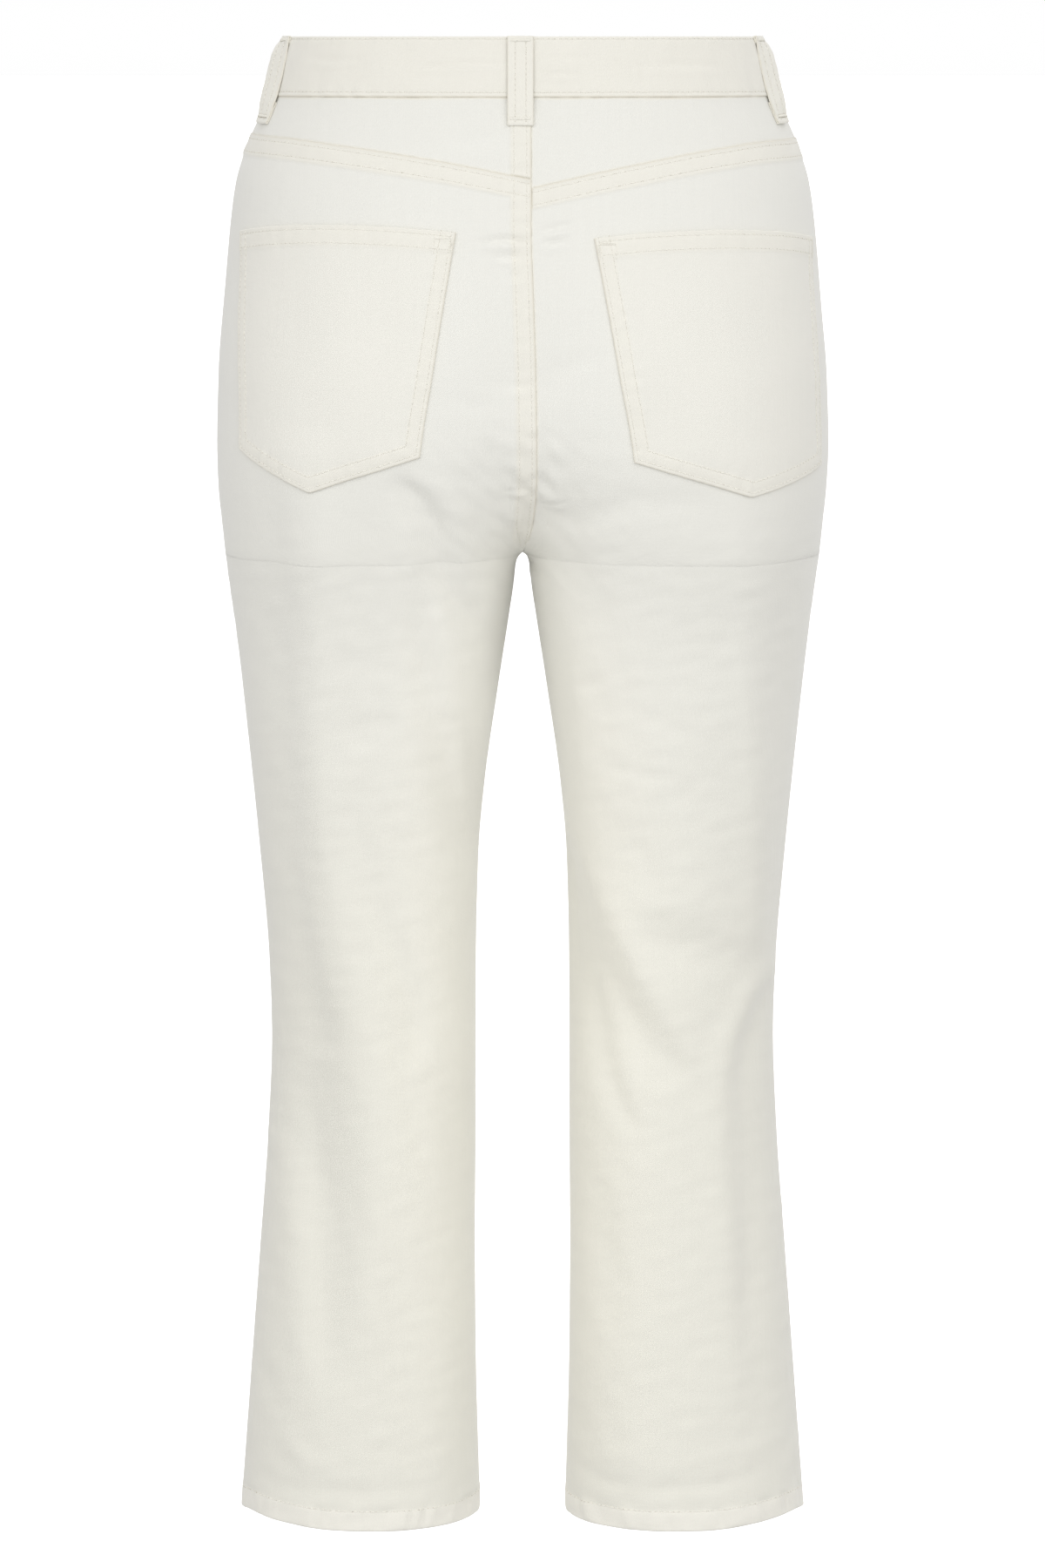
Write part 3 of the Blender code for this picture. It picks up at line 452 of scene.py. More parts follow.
class Skin:
    # the cloth's outer surface at a grid of drops and arcs; lift() moves it outwards
    def __init__(self, side, face, drop, arc):
        drop, arc = np.broadcast_arrays(np.asarray(drop, float), np.asarray(arc, float))
        self.side, self.face, self.drop, self.arc = side, face, drop, arc
        self.base = plainSurface(drop, arc, face)
        self.normal = outwardNormals(drop, arc, face)
        x, fromMiddle = side * self.base[..., 0], np.abs(self.base[..., 1] - ovals(drop)[2])
        fade = smoothStep(fromMiddle, 0, garment["seamFade"])  # none at the side seam and the inseam
        self.height = (foldHeight(x, drop, face) + fineHeight(x, drop, face)) * fade

    def lift(self, distance):
        points = self.base + self.normal * (self.height + distance)[..., None]
        forward = np.clip(-points[..., 1] / garment["frontDipDepth"], 0, None)
        fade = np.clip(1 - self.drop / garment["frontDipFade"], 0, 1)
        points[..., 2] -= garment["frontDip"] * forward**1.5 * fade
        points[..., 0] *= self.side
        return points * mm

    def weave(self):
        # the cloth's own coordinates in metres, to the right and up as seen from outside
        across = -self.arc if self.face == "back" else self.arc
        return np.stack([self.side * across, -self.drop], -1) * mm


# The finer creases: x and drop at one end and at the other, bow, width and depth. A ridge's
# height is a part of its crease's depth, and its distance and width are parts of the width.
creases = {
    "ends": 0.45,  # the width at both ends, as a part of the width in the middle
    "swell": 0.7,  # the smaller, the sooner a crease reaches its depth
    "ridge": 0.55,
    "ridgeAway": 1.7,
    "ridgeWidth": 1.2,
    "back": (
        (66, 18.5, 6, 16, -1, 1.5, -0.95),
        (126, 13, 92, 13.5, 0.8, 1.8, -0.60),
        (-8, 21, -36, 21.5, 1, 1.4, -1),
        (-10, 13.5, -44, 12.5, 0, 1.6, -0.55),
        (-60, 18, -118, 18.5, -1.5, 2.2, -0.60),
        (27, 118.5, -3.5, 117, -1.5, 1.9, -2.40),
        (20, 126.5, 0, 124.5, 0.5, 1.6, -1.20),
        (-8, 112, -30, 107, 0, 1.9, -1.50),
        (-8, 118.5, -27, 116, 0.6, 1.8, -1.40),
        (46, 60, 4, 54, 2, 5, -0.65),
        (13, 63.5, -4, 62.5, 0.3, 1.3, -0.50),
        (13, 127.5, -4, 126.5, 0.3, 1.3, -0.55),
        (12, 262, -6, 260, 0.4, 1.5, -0.90),
        (-10, 270, -26, 268, 0.6, 1.6, -0.80),
    ),
    "front": (
        (-16, 60, -60, 52, 2, 5, -0.40),
        (24, 62, 66, 54, 2, 5, -0.40),
    ),
}


unevenness = {
    "swell": 0.32,  # the height of the slow swells, their size and where they begin
    "swellSize": 46.0,
    "swellStart": (60, 160),
    "wrinkle": 0.55,  # the small wrinkles about the crotch
    "wrinkleSize": 12.0,
    "wrinkleDrop": 280.0,
    "wrinkleReach": (50.0, 52.0),
    "leg": 0.20,  # the small waves down the legs
    "legSize": 19.0,
    "legStart": (250, 330),
}


def fineHeight(x, drop, face):
    # slow swells all over, small wrinkles about the crotch and down the legs, and the creases
    plan = unevenness
    swell = plan["swell"] * softNoise(x, drop * 0.6, plan["swellSize"], 11)
    across, down = plan["wrinkleReach"]
    crotch = np.exp(-((x / across) ** 2)) * np.exp(-(((drop - plan["wrinkleDrop"]) / down) ** 2))
    wrinkle = plan["wrinkle"] * softNoise(x + 0.5 * drop, 0.9 * drop, plan["wrinkleSize"], 23, 14)
    leg = plan["leg"] * softNoise(x, 1.7 * drop, plan["legSize"], 31, 14)
    slow = swell * smoothStep(drop, *plan["swellStart"]) + leg * smoothStep(drop, *plan["legStart"])
    return slow + wrinkle * crotch + creaseHeight(x, drop, face)


def makeMesh(name, points, faceSets, weave=None, ply=None, material=None):
    # faceSets: arrays of corners, one array for each number of corners
    mesh = bpy.data.meshes.new(name)
    mesh.vertices.add(len(points))
    mesh.vertices.foreach_set("co", np.ascontiguousarray(points, np.float32).ravel())
    corners = np.concatenate([faces.ravel() for faces in faceSets])
    counts = np.concatenate([np.full(len(faces), faces.shape[1]) for faces in faceSets])
    mesh.loops.add(len(corners))
    mesh.loops.foreach_set("vertex_index", corners.astype(np.int32))
    mesh.polygons.add(len(counts))
    starts = np.concatenate([[0], counts.cumsum()[:-1]])
    mesh.polygons.foreach_set("loop_start", starts.astype(np.int32))
    mesh.polygons.foreach_set("use_smooth", np.ones(len(counts), bool))
    mesh.update(calc_edges=True)
    if weave is not None:
        layer = mesh.uv_layers.new(name="weave")
        layer.data.foreach_set("uv", weave[corners].astype(np.float32).ravel())
    # ply holds the layers of cloth from 0 to 1, and above 1 painted warm shade in the seams
    if ply is not None:
        mesh.attributes.new("ply", "FLOAT", "POINT").data.foreach_set("value", ply.astype(np.float32))
    mesh.validate()
    piece = bpy.data.objects.new(name, mesh)
    if material:
        mesh.materials.append(material)
    bpy.context.scene.collection.objects.link(piece)
    return piece


def facesOutward(points, faceSets):
    # all the faces reversed if the closed surface they make holds a negative volume
    volume = 0.0
    for faces in faceSets:
        for k in range(1, faces.shape[1] - 1):
            a, b, c = points[faces[:, 0]], points[faces[:, k]], points[faces[:, k + 1]]
            volume += np.einsum("ij,ij->", a, np.cross(b, c))
    return [faces[:, ::-1] for faces in faceSets] if volume < 0 else faceSets


def gridQuads(rows, columns, closed=False):
    index = np.arange(rows * columns).reshape(rows, columns)
    if closed:
        index = np.concatenate([index, index[:, :1]], axis=1)
    a, b = index[:-1, :-1].ravel(), index[:-1, 1:].ravel()
    c, d = index[1:, 1:].ravel(), index[1:, :-1].ravel()
    return np.stack([a, b, c, d], 1)


def clothWall(name, outer, inner, weave, ply, material):
    # a closed wall: the outer grid, the inner grid reversed, and a rim of quads round both
    rows, columns = outer.shape[:2]
    count = rows * columns
    index = np.arange(count).reshape(rows, columns)
    face = gridQuads(rows, columns)
    border = np.concatenate([index[0, :-1], index[:-1, -1], index[-1, :0:-1], index[:0:-1, 0]])
    after = np.roll(border, -1)
    rim = np.stack([border, border + count, after + count, after], 1)
    quads = np.concatenate([face, face[:, ::-1] + count, rim])
    points = np.concatenate([outer.reshape(-1, 3), inner.reshape(-1, 3)])
    weave = np.concatenate([weave.reshape(-1, 2)] * 2)
    ply = np.concatenate([np.broadcast_to(ply, outer.shape[:2]).ravel()] * 2)
    return makeMesh(name, points, facesOutward(points, [quads]), weave, ply, material)


def sided(name, side):
    return name + ("_left" if side == left else "_right")


def finishPiece(piece, slot, *nodes):
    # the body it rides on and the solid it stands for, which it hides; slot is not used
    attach(piece, "root")
    if nodes:
        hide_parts(*nodes)
    return piece


def rounded(distance, radius):
    # from 0 at a border to 1, along a quarter circle
    inside = np.clip(1 - distance / radius, 0, 1)
    return np.sqrt(1 - inside**2)


def rolledEdge(distance, radius, depth):
    # a quarter circle from the flat surface down to its border
    return -depth * (1 - rounded(distance, radius))


def edgeSteps(radius, count=4):
    # distances from a border at which a rolled edge is divided evenly
    return radius * (1 - np.cos(np.linspace(0, math.pi / 2, count + 1)))


def walked(steps):
    # how far it is along a path to each of its points, from the lengths between them
    return np.concatenate([[0], steps.cumsum()])


def spaced(start, end, step):
    # the places after start, up to and with end, about one step apart
    count = max(1, int(round((end - start) / step * fineness)))
    return start + (end - start) * np.arange(1, count + 1) / count


class Wire:
    # one output of a material's node; arithmetic on it adds Math nodes
    def __init__(self, paint, socket):
        self.paint, self.socket = paint, socket

    def maths(self, operation, *others):
        values = dict(enumerate((self, *others)))
        return self.paint.node("ShaderNodeMath", {"operation": operation}, values)[0]

    def __add__(self, other):
        return self.maths("ADD", other)

    def __sub__(self, other):
        return self.maths("SUBTRACT", other)

    def __mul__(self, other):
        return self.maths("MULTIPLY", other)

    def __rsub__(self, other):
        values = {0: other, 1: self}
        return self.paint.node("ShaderNodeMath", {"operation": "SUBTRACT"}, values)[0]

    __radd__ = __add__
    __rmul__ = __mul__


class Node:
    # a material's node, whose outputs are read as wires by name or number
    def __init__(self, paint, node):
        self.paint, self.node = paint, node

    def __getitem__(self, name):
        return Wire(self.paint, self.node.outputs[name])


class Paint:
    # the nodes of a material, or of the world
    def __init__(self, name, owner=None):
        self.material = owner or bpy.data.materials.new(name)
        self.material.use_nodes = True
        self.tree = self.material.node_tree
        self.shader = self.tree.nodes.get("Principled BSDF")

    def node(self, kind, settings=None, values=None):
        # settings are the node's own, such as an operation, and values feed its sockets
        node = self.tree.nodes.new(kind)
        for name, value in (settings or {}).items():
            setattr(node, name, value)
        for name, value in (values or {}).items():
            self.feed(node.inputs[name], value)
        return Node(self, node)

    def feed(self, socket, value):
        if isinstance(value, Wire):
            self.tree.links.new(value.socket, socket)
        else:
            socket.default_value = value

    def mix(self, share, first, second, blend="MIX"):
        # a Mix node's colours are its sockets 6 and 7, and its mixed colour comes third
        values = {0: share, 6: first, 7: second}
        return self.node("ShaderNodeMix", {"data_type": "RGBA", "blend_type": blend}, values)[2]

    def ramp(self, value, low, high):
        # from 0 at low to 1 at high
        return self.node("ShaderNodeMapRange", None, {0: value, 1: low, 2: high, 3: 0.0, 4: 1.0})[0]

    def split(self, vector):
        return self.node("ShaderNodeSeparateXYZ", None, {0: vector})

    def bump(self, height, strength, distance):
        values = {"Height": height, "Strength": strength, "Distance": distance}
        return self.node("ShaderNodeBump", None, values)["Normal"]

    def noise(self, vector, scale, detail=2.0, roughness=0.5):
        values = {"Vector": vector, "Scale": scale, "Detail": detail, "Roughness": roughness}
        return self.node("ShaderNodeTexNoise", None, values)["Fac"]

    def stretched(self, vector, scale):
        return self.node("ShaderNodeMapping", None, {"Vector": vector, "Scale": scale})["Vector"]

    def finish(self, values):
        for name, value in values.items():
            self.feed(self.shader.inputs[name], value)
        return self.material


twill = {
    "plain": (0.812, 0.806, 0.757, 1.0),  # one layer of cloth, at the seat
    "washed": (0.777, 0.765, 0.692, 1.0),  # and at the hems, darker and warmer: painted shade
    "layered": (0.822, 0.804, 0.734, 1.0),  # felled seams, band, pockets
    "seam": (0.745, 0.712, 0.620, 1.0),  # painted warm shade in the bottom of a seam
    "fade": (0.20, 0.55),  # how far below the top the painted shade and the low streaks come in, in metres
    "wale": 0.00095,  # across one diagonal line, in metres
    "waleAngle": math.radians(48),
    "yarn": 0.00062,
    "wobble": (260.0, 3.0, 5.0),  # how fine it is, and how far it moves wales and yarns
    "noises": {  # how fine across and along the cloth, and the detail
        "slub": (900.0, 16.0, 3.0),
        "weft": (22.0, 1100.0, 2.0),
        "crumple": (85.0, 150.0, 3.0),
        "streak": (230.0, 24.0, 3.0),
        "grain": (1500.0, 1500.0, 2.0),
    },
    "noiseRoughness": 0.6,
    "raised": {"wale": 0.32, "yarns": 0.12, "slub": 0.9, "weft": 0.5, "grain": 0.5, "crumple": 3.4,
               "lowStreak": 1.8},  # how much each adds to the relief
    "shaded": {"wale": 0.010, "slub": 0.034, "weft": 0.014, "grain": 0.018, "cloud": -0.020,
               "streak": 0.018},  # and to the brightness
    "brightness": 0.966,
    "relief": 0.00011,
    "bump": 0.55,
    "sheen": 0.5,
    "roughness": 0.86,
}


def twillCloth(name, layered=None):
    # diagonal wales from a sine of the distance across them, broken into yarns by a second
    # sine and by noise, with long thin slubs along the warp, a slow drift of tint, painted shade
    # that darkens and warms the plain cloth lower down, and painted warm shade in the seams
    paint = Paint(name)
    weave = paint.node("ShaderNodeUVMap", {"uv_map": "weave"})["UV"]
    space = paint.node("ShaderNodeTexCoord")["Object"]
    fine, moveWale, moveYarn = twill["wobble"]
    wobble = paint.noise(weave, fine)
    part = paint.split(weave)
    sin, cos = math.sin(twill["waleAngle"]), math.cos(twill["waleAngle"])
    across = part["X"] * (sin / twill["wale"]) - part["Y"] * (cos / twill["wale"])
    patterns = {
        "wale": (across * (2 * math.pi) + wobble * moveWale).maths("SINE"),
        "yarns": (part["Y"] * (2 * math.pi / twill["yarn"]) + wobble * moveYarn).maths("SINE"),
        "cloud": paint.noise(space, 9.0, 3.0, 0.55),
    }
    for key, (acrossScale, alongScale, detail) in twill["noises"].items():
        stretched = paint.stretched(weave, (acrossScale, alongScale, 1.0))
        patterns[key] = paint.noise(stretched, 1.0, detail, twill["noiseRoughness"])
    lower = paint.ramp(paint.split(space)["Z"] * -1.0, *twill["fade"])
    patterns["lowStreak"] = patterns["streak"] * lower
    relief = sum(patterns[key] * amount for key, amount in twill["raised"].items())
    shade = sum((patterns[key] * amount for key, amount in twill["shaded"].items()), twill["brightness"])
    ply = paint.node("ShaderNodeAttribute", {"attribute_name": "ply"})["Fac"]
    layers = paint.ramp(ply, 0.0, 1.0) if layered is None else layered
    # the plain cloth turns darker and warmer lower down: painted shade
    tone = paint.mix(layers, paint.mix(lower, twill["plain"], twill["washed"]), twill["layered"])
    # above 1, ply paints warm shade into the bottom of the seams
    tone = paint.mix(paint.ramp(ply, 1.0, 2.0), tone, twill["seam"])
    grey = paint.node("ShaderNodeCombineColor", None, {0: shade, 1: shade, 2: shade})[0]
    return paint.finish({
        "Base Color": paint.mix(1.0, tone, grey, "MULTIPLY"),
        "Roughness": patterns["wale"] * 0.03 + twill["roughness"],
        "Specular IOR Level": 0.25,
        "Sheen Weight": twill["sheen"],
        "Sheen Roughness": 0.55,
        "Normal": paint.bump(relief, twill["bump"], twill["relief"]),
    })


thread = {
    "dark": (0.87, 0.85, 0.77, 1.0),
    "light": (0.94, 0.92, 0.85, 1.0),
    "needleHole": (0.36, 0.31, 0.22, 1.0),
    "hole": (0.33, 0.42),  # where painted needle-hole shade darkens a stitch, from its middle towards its ends
    "ply": (5.0, 3.0),  # turns of the twist along a stitch and round it
    "relief": 0.00005,
}


def threadFinish(name):
    # a twisted cord: a sine of the place along and round a stitch, with painted shade at the needle holes
    paint = Paint(name)
    part = paint.split(paint.node("ShaderNodeUVMap", {"uv_map": "weave"})["UV"])
    along, around = thread["ply"]
    ply = ((part["X"] * along + part["Y"] * around) * (2 * math.pi)).maths("SINE")
    tone = paint.mix(ply * 0.5 + 0.5, thread["dark"], thread["light"])
    hole = paint.ramp((part["X"] - 0.5).maths("ABSOLUTE"), *thread["hole"])
    return paint.finish({
        "Base Color": paint.mix(hole, tone, thread["needleHole"]),
        "Roughness": 0.6,
        "Specular IOR Level": 0.35,
        "Sheen Weight": 0.1,
        "Normal": paint.bump(ply, 0.5, thread["relief"]),
    })


metal = {
    "dark": (0.50, 0.48, 0.44, 1.0),
    "light": (0.70, 0.68, 0.63, 1.0),
    "scratches": (900.0, 60.0, 900.0),  # how fine they are each way
    "relief": 0.00003,
}


def buttonMetal(name):
    # brushed metal: noise drawn out along one way, and blotches of wear
    paint = Paint(name)
    space = paint.node("ShaderNodeTexCoord")["Object"]
    scratch = paint.noise(paint.stretched(space, metal["scratches"]), 1.0, 3.0)
    return paint.finish({
        "Base Color": paint.mix(paint.noise(space, 500.0, 3.0), metal["dark"], metal["light"]),
        "Metallic": 1.0,
        "Roughness": scratch * 0.2 + 0.22,
        "Normal": paint.bump(scratch, 0.3, metal["relief"]),
    })


panelTwill = twillCloth("panelTwill")
layeredTwill = twillCloth("layeredTwill", 1.0)
sewingThread = threadFinish("sewingThread")
nickel = buttonMetal("nickel")
print("materials made")

# Sewing. Sizes are millimetres.
sewing = {
    "pitch": 3.4,  # from one stitch to the next
    "gap": 0.35,  # between two stitches
    "thread": 0.22,  # the thread's radius
    "groove": 0.22,  # how far a row pulls the cloth in
    "grooveWidth": 0.9,
    "pucker": 0.22,
    "puckerWidth": 4.5,
    "puckerLength": 7.0,
    "arch": (-0.95, 0.30, 0.70, 0.30, -0.95),  # a stitch's height, in thread radii
    "girth": (0.60, 0.95, 1.0, 0.95, 0.60),  # and its radius, at these parts of its length
    "parts": (0.0, 0.13, 0.5, 0.87, 1.0),
    "sides": 6,
    "sink": 0.03,  # how far a row's path lies in the cloth
    "jitter": 0.03,  # unevenness of a stitch's ends, as a part of the pitch
    "sway": 0.05,  # and of its line
    "tackPitch": 2.4,  # stitches closer than this show no painted needle-hole shade
}

threadPaths = {}  # the rows of stitches on each piece: points, normals and pitch


def nearLine(line, drop, arc, reach=14.0):
    # distance to a line of drops and arcs, and how far along it the nearest point is
    close, distance, along, _ = nearest(line, drop, arc, reach)
    length = walked(np.hypot(*np.diff(line)))
    distances, places = np.full(drop.shape, 1e3), np.zeros(drop.shape)
    distances[close], places[close] = distance, np.interp(along, np.arange(len(length)), length)
    return distances, places


def rowHeight(distance, along, seed):
    # a groove, and puckers across it: waves of uneven length that fade with distance
    groove = sewing["groove"] * np.exp(-((distance / sewing["grooveWidth"]) ** 2))
    waves = softNoise(along, 0 * along, sewing["puckerLength"], seed)
    return sewing["pucker"] * waves * np.exp(-((distance / sewing["puckerWidth"]) ** 2)) - groove


def sewnHeight(lines, drop, arc, seed):
    # the sum of the rows' heights, each with its own waves
    height = np.zeros(drop.shape)
    for place, line in enumerate(lines):
        height += rowHeight(*nearLine(line, drop, arc), seed + place)
    return height


def sewRow(group, points, outwards, pitch=None):
    # keeps a row for its piece's stitches; outwards are points a little above its own
    normals = outwards - points
    normals /= np.linalg.norm(normals, axis=-1, keepdims=True)
    path = {"points": points, "normals": normals, "pitch": pitch or sewing["pitch"]}
    threadPaths.setdefault(group, []).append(path)


def denseLine(line, step=0.9):
    # the same line with its own points and one every step or so
    drop, arc = line
    length = walked(np.hypot(*np.diff(line)))
    even = np.linspace(0, length[-1], max(2, int(length[-1] / step)))
    corners = np.unique(np.concatenate([even, length]))
    return np.interp(corners, length, drop), np.interp(corners, length, arc)


def sewOnCloth(group, side, face, line, shape, pitch=None):
    # a row along a line of drops and arcs, on the outside of a piece's shape
    drop, arc = denseLine(line)
    outer = shape(drop, arc)[0]
    skin = Skin(side, face, drop, arc)
    sewRow(group, skin.lift(outer - sewing["sink"]), skin.lift(outer + 0.5), pitch)


def barTack(start, end, width, count):
    # a zigzag between two places, each a drop and an arc, with so many points on each side
    start, end = np.array(start, float), np.array(end, float)
    run = (end - start) / np.linalg.norm(end - start)
    t = np.linspace(0, 1, 2 * count + 1)[:, None]
    swing = np.where(np.arange(2 * count + 1) % 2, 0.5, -0.5)[:, None] * width
    line = start + (end - start) * t + np.array([-run[1], run[0]]) * swing
    return line[:, 0], line[:, 1]


def sewBarTack(group, side, face, start, end, width, count, shape):
    drop, arc = barTack(start, end, width, count)
    skin = Skin(side, face, drop, arc)
    outer = shape(drop, arc)[0]
    lengths = np.hypot(np.diff(drop), np.diff(arc))
    sewRow(group, skin.lift(outer), skin.lift(outer + 0.5), lengths.mean())


def threadMesh(paths):
    # every stitch is a short tube whose ends dip into the cloth: rings of points round a line
    # between two places on the path, raised along the normal by a flat arch
    arch, girth = np.array(sewing["arch"]), np.array(sewing["girth"])
    part = np.array(sewing["parts"])
    turn = np.arange(sewing["sides"]) * 2 * math.pi / sewing["sides"]
    radius = sewing["thread"] * mm
    points, weave = [], []
    for path in paths:
        place, normal, pitch = path["points"], path["normals"], path["pitch"] * mm
        length = walked(np.linalg.norm(np.diff(place, axis=0), axis=1))
        count = max(1, int(round(length[-1] / pitch)))
        step = length[-1] / count
        gap = min(sewing["gap"] * mm, 0.2 * step)
        jitter = rng.normal(0, sewing["jitter"] * step, (count, 2))
        first = np.arange(count) * step + 0.5 * gap + jitter[:, 0]
        last = np.arange(1, count + 1) * step - 0.5 * gap + jitter[:, 1]
        at = first[:, None] + (last - first)[:, None] * part
        centre = np.stack([np.interp(at, length, place[:, k]) for k in range(3)], -1)
        up = np.stack([np.interp(at, length, normal[:, k]) for k in range(3)], -1)
        up /= np.linalg.norm(up, axis=-1, keepdims=True)
        ahead = np.gradient(centre, axis=1)
        ahead /= np.maximum(np.linalg.norm(ahead, axis=-1, keepdims=True), 1e-12)
        aside = np.cross(ahead, up)
        aside /= np.maximum(np.linalg.norm(aside, axis=-1, keepdims=True), 1e-12)
        sway = rng.normal(0, sewing["sway"] * mm, (count, 1, 1))
        centre = centre + up * (radius * arch)[None, :, None] + aside * sway
        around = aside[:, :, None] * np.cos(turn)[:, None] + up[:, :, None] * np.sin(turn)[:, None]
        rings = centre[:, :, None] + radius * girth[None, :, None, None] * around
        points.append(rings.reshape(-1, 3))
        # tack stitches get no painted needle-hole shade
        spread = 1.0 if pitch > sewing["tackPitch"] * mm else 0.6
        u = np.broadcast_to(0.5 + spread * (part[:, None] - 0.5), rings.shape[1:3])
        v = np.broadcast_to(turn / (2 * math.pi), rings.shape[1:3])
        weave.append(np.tile(np.stack([u, v], -1).reshape(-1, 2), (count, 1)))
    return np.concatenate(points), np.concatenate(weave)


def makeStitches(group):
    # one joined mesh: tubes of bands of quads, closed by a flat face at each end
    points, weave = threadMesh(threadPaths[group])
    rings, sides = len(sewing["parts"]), sewing["sides"]
    count = len(points) // (rings * sides)
    shift = rings * sides * np.arange(count)[:, None, None]
    tube = gridQuads(rings, sides, closed=True)
    ends = np.array([np.arange(sides)[::-1], np.arange(sides) + (rings - 1) * sides])
    faceSets = [(tube + shift).reshape(-1, 4), (ends + shift).reshape(-1, sides)]
    faceSets = facesOutward(points, faceSets)
    stitches = makeMesh("stitches_" + group, points, faceSets, weave, None, sewingThread)
    return finishPiece(stitches, "twill")


# Seams. Sizes are millimetres.
yokeSeam = {
    "columns": ("part", "left", "right"),  # its drop, at parts of the way to the side seam
    "rows": ((0.0, 81.5, 87.0), (0.25, 70.4, 74.6), (0.5, 62.5, 65.0), (0.7, 58.4, 60.6),
             (1.0, 56.2, 59.0)),
    "lap": 12.4,
}
centreLap = {
    "columns": ("drop", "back", "front"),  # how far the left side laps over the centre
    "rows": ((0, 5.2, 14), (110, 5.2, 14), (150, 6.5, 12), (200, 8, 5), (250, 8.5, 4),
             (285, 6, 2), (303.5, 0, 0)),
    "sewn": {"yoke": (36.0, 84.0), "back": (82.0, 296.0), "front": (186.0, 296.0)},
}
hemLine = {
    "columns": ("part", "rise"),  # how far the hem rises across a panel
    "rows": ((0, 0), (0.35, -1.2), (0.55, -0.6), (0.72, 2.2), (0.85, 4.0), (1.0, 0.8)),
    "reach": 160.0,
    "roping": 0.62,  # slanted waves in the turned hem, their size and slant
    "ropingSize": 8.0,
    "ropingSlant": (0.85, 0.3, 0.12),
    "ropingZone": (10.5, 15.5),
    "raise": 0.3,  # the doubled cloth's height
    "turn": (11.0, 13.5),  # where the turned cloth ends, above the edge
}
sideStreaks = {  # fine upright ripples beside the side seam's foot
    "height": 0.24,
    "size": 7.0,
    "drops": (430, 600),
    "inner": (3, 12),
    "outer": (26, 44),
}
seams = {
    "gap": 0.1,
    "cloth": 1.4,
    "raise": 0.6,  # a felled seam's extra layers
    "tuck": 3.0,  # how far the lower piece runs on under a lap
    "tuckFade": (2, 14),  # it ends this far above the crotch
    "under": -0.12,  # the height of what lies under a lap
    "lip": 0.06,  # the height of a lap's underside
    "thinnest": 0.08,
    "soft": (-0.8, 0.6),  # where a layer's step begins and ends, from its edge
    "softUnder": 0.8,
    "rows": (2.8, 10.2),  # the two rows of stitches, from the folded edge
    "stripWidth": 12.2,
    "hemDepth": 12.0,
    "hemWall": 2.6,
    "side": (1.5, 0.95),  # radius and depth of the groove along a plain seam
    "fold": (0.8, 0.50),  # radius and depth of a folded edge
    "tint": (0.35, 1.15),  # where the painted warm shade in a seam starts to fade and ends
    "hemEdge": (1.3, 1.1),
}
fly = {
    "top": 34.0,
    "width": 20.5,
    "rowGap": 6.2,
    "straight": 122.0,
    "end": 182.0,
    "past": 5.0,  # the turned rows run on this far past the centre
    "turn": 2.4,
    "strip": 22.0,
    "stripTurn": 130.0,
}


def yokeDrop(side, part):
    # the drop of the yoke's seam
    return readTable(yokeSeam, "left" if side == left else "right", part)


def lapAt(face, drop):
    return readTable(centreLap, face, drop)


def tuckAt(drop):
    return seams["tuck"] * smoothStep(garment["crotchDrop"] - drop, *seams["tuckFade"])


def stepDown(distance, edge):
    # 1 on a layer and 0 past its edge
    return 1 - smoothStep(distance, edge + seams["soft"][0], edge + seams["soft"][1])


def underLap(distance):
    # 1 under a lap, and 0 a little way out of it
    return 1 - smoothStep(distance, 0.0, seams["softUnder"])


def lapped(distance):
    # 1 on the part of a lap that lies on the next piece
    return 1 - smoothStep(distance, seams["tuck"], seams["tuck"] + 1)


def panelStart(side, face, drop):
    # where a panel begins: the lap's folded edge, or under it, or the inseam
    lap = lapAt(face, drop)
    return np.where(side == left, -lap, lap - tuckAt(drop)) + seams["gap"] / 2


def acrossPanel(side, face, drop, part):
    # the arc at a part of the way across a panel: evenly over its usual width, while the
    # inner thigh's extra width goes to the innermost parts, as (1 - part)^power
    start, end = panelStart(side, face, drop), girthOf(drop, face) - seams["gap"] / 2
    above, below = panels["thigh"]
    usual = np.interp(drop, (above, below), girthOf(np.array([above, below]), face))
    extra = np.where((drop > above) & (drop < below), girthOf(drop, face) - usual, 0)
    rest = (1 - part) * (end - start - extra) + (1 - part) ** panels["thighPower"] * extra
    return end - rest


def placeOnPanel(side, face, drop, arc):
    # distances from the centre edge and the side seam, and the part of the way across
    start, end = panelStart(side, face, drop), girthOf(drop, face) - seams["gap"] / 2
    return arc - start, end - arc, np.clip((arc - start) / (end - start), 0, 1)


def riseParts(face, top, count):
    # parts of the drop from the top to the crotch, even along the curved centre seam
    drop = top + (garment["crotchDrop"] - top) * (1 - (1 - np.linspace(0, 1, 400)) ** 3)
    y = plainSurface(drop, np.zeros_like(drop), face)[:, 1]
    length = walked(np.hypot(np.diff(drop), np.diff(y)))
    even = np.interp(np.linspace(0, length[-1], count + 1), length, drop)
    return (even - top) / (garment["crotchDrop"] - top)


panels = {
    "width": 240.0,  # the columns' spacing is exact at this width
    "thigh": (262.0, 400.0),
    "thighPower": 12.0,
    "zone": {"back": 14.5, "front": 40.0},  # close columns by the centre and by the side seam
    "zoneStep": {"back": 0.85, "front": 1.3},
    "farZone": (7.0, 1.4),
    "middle": {"back": 72, "front": 55},  # how many columns lie between
    "fan": {"back": 150, "front": 110},  # how many rows fan out to the crotch
    "lapZone": (14.0, 0.85),  # close rows: how far they reach and how far apart
    "frontZone": (-0.5, 8.0, 0.5),
    "crotchZone": (12.0, 0.9),
    "hemZone": (17.0, 1.0),
    "legStep": 2.9,
}


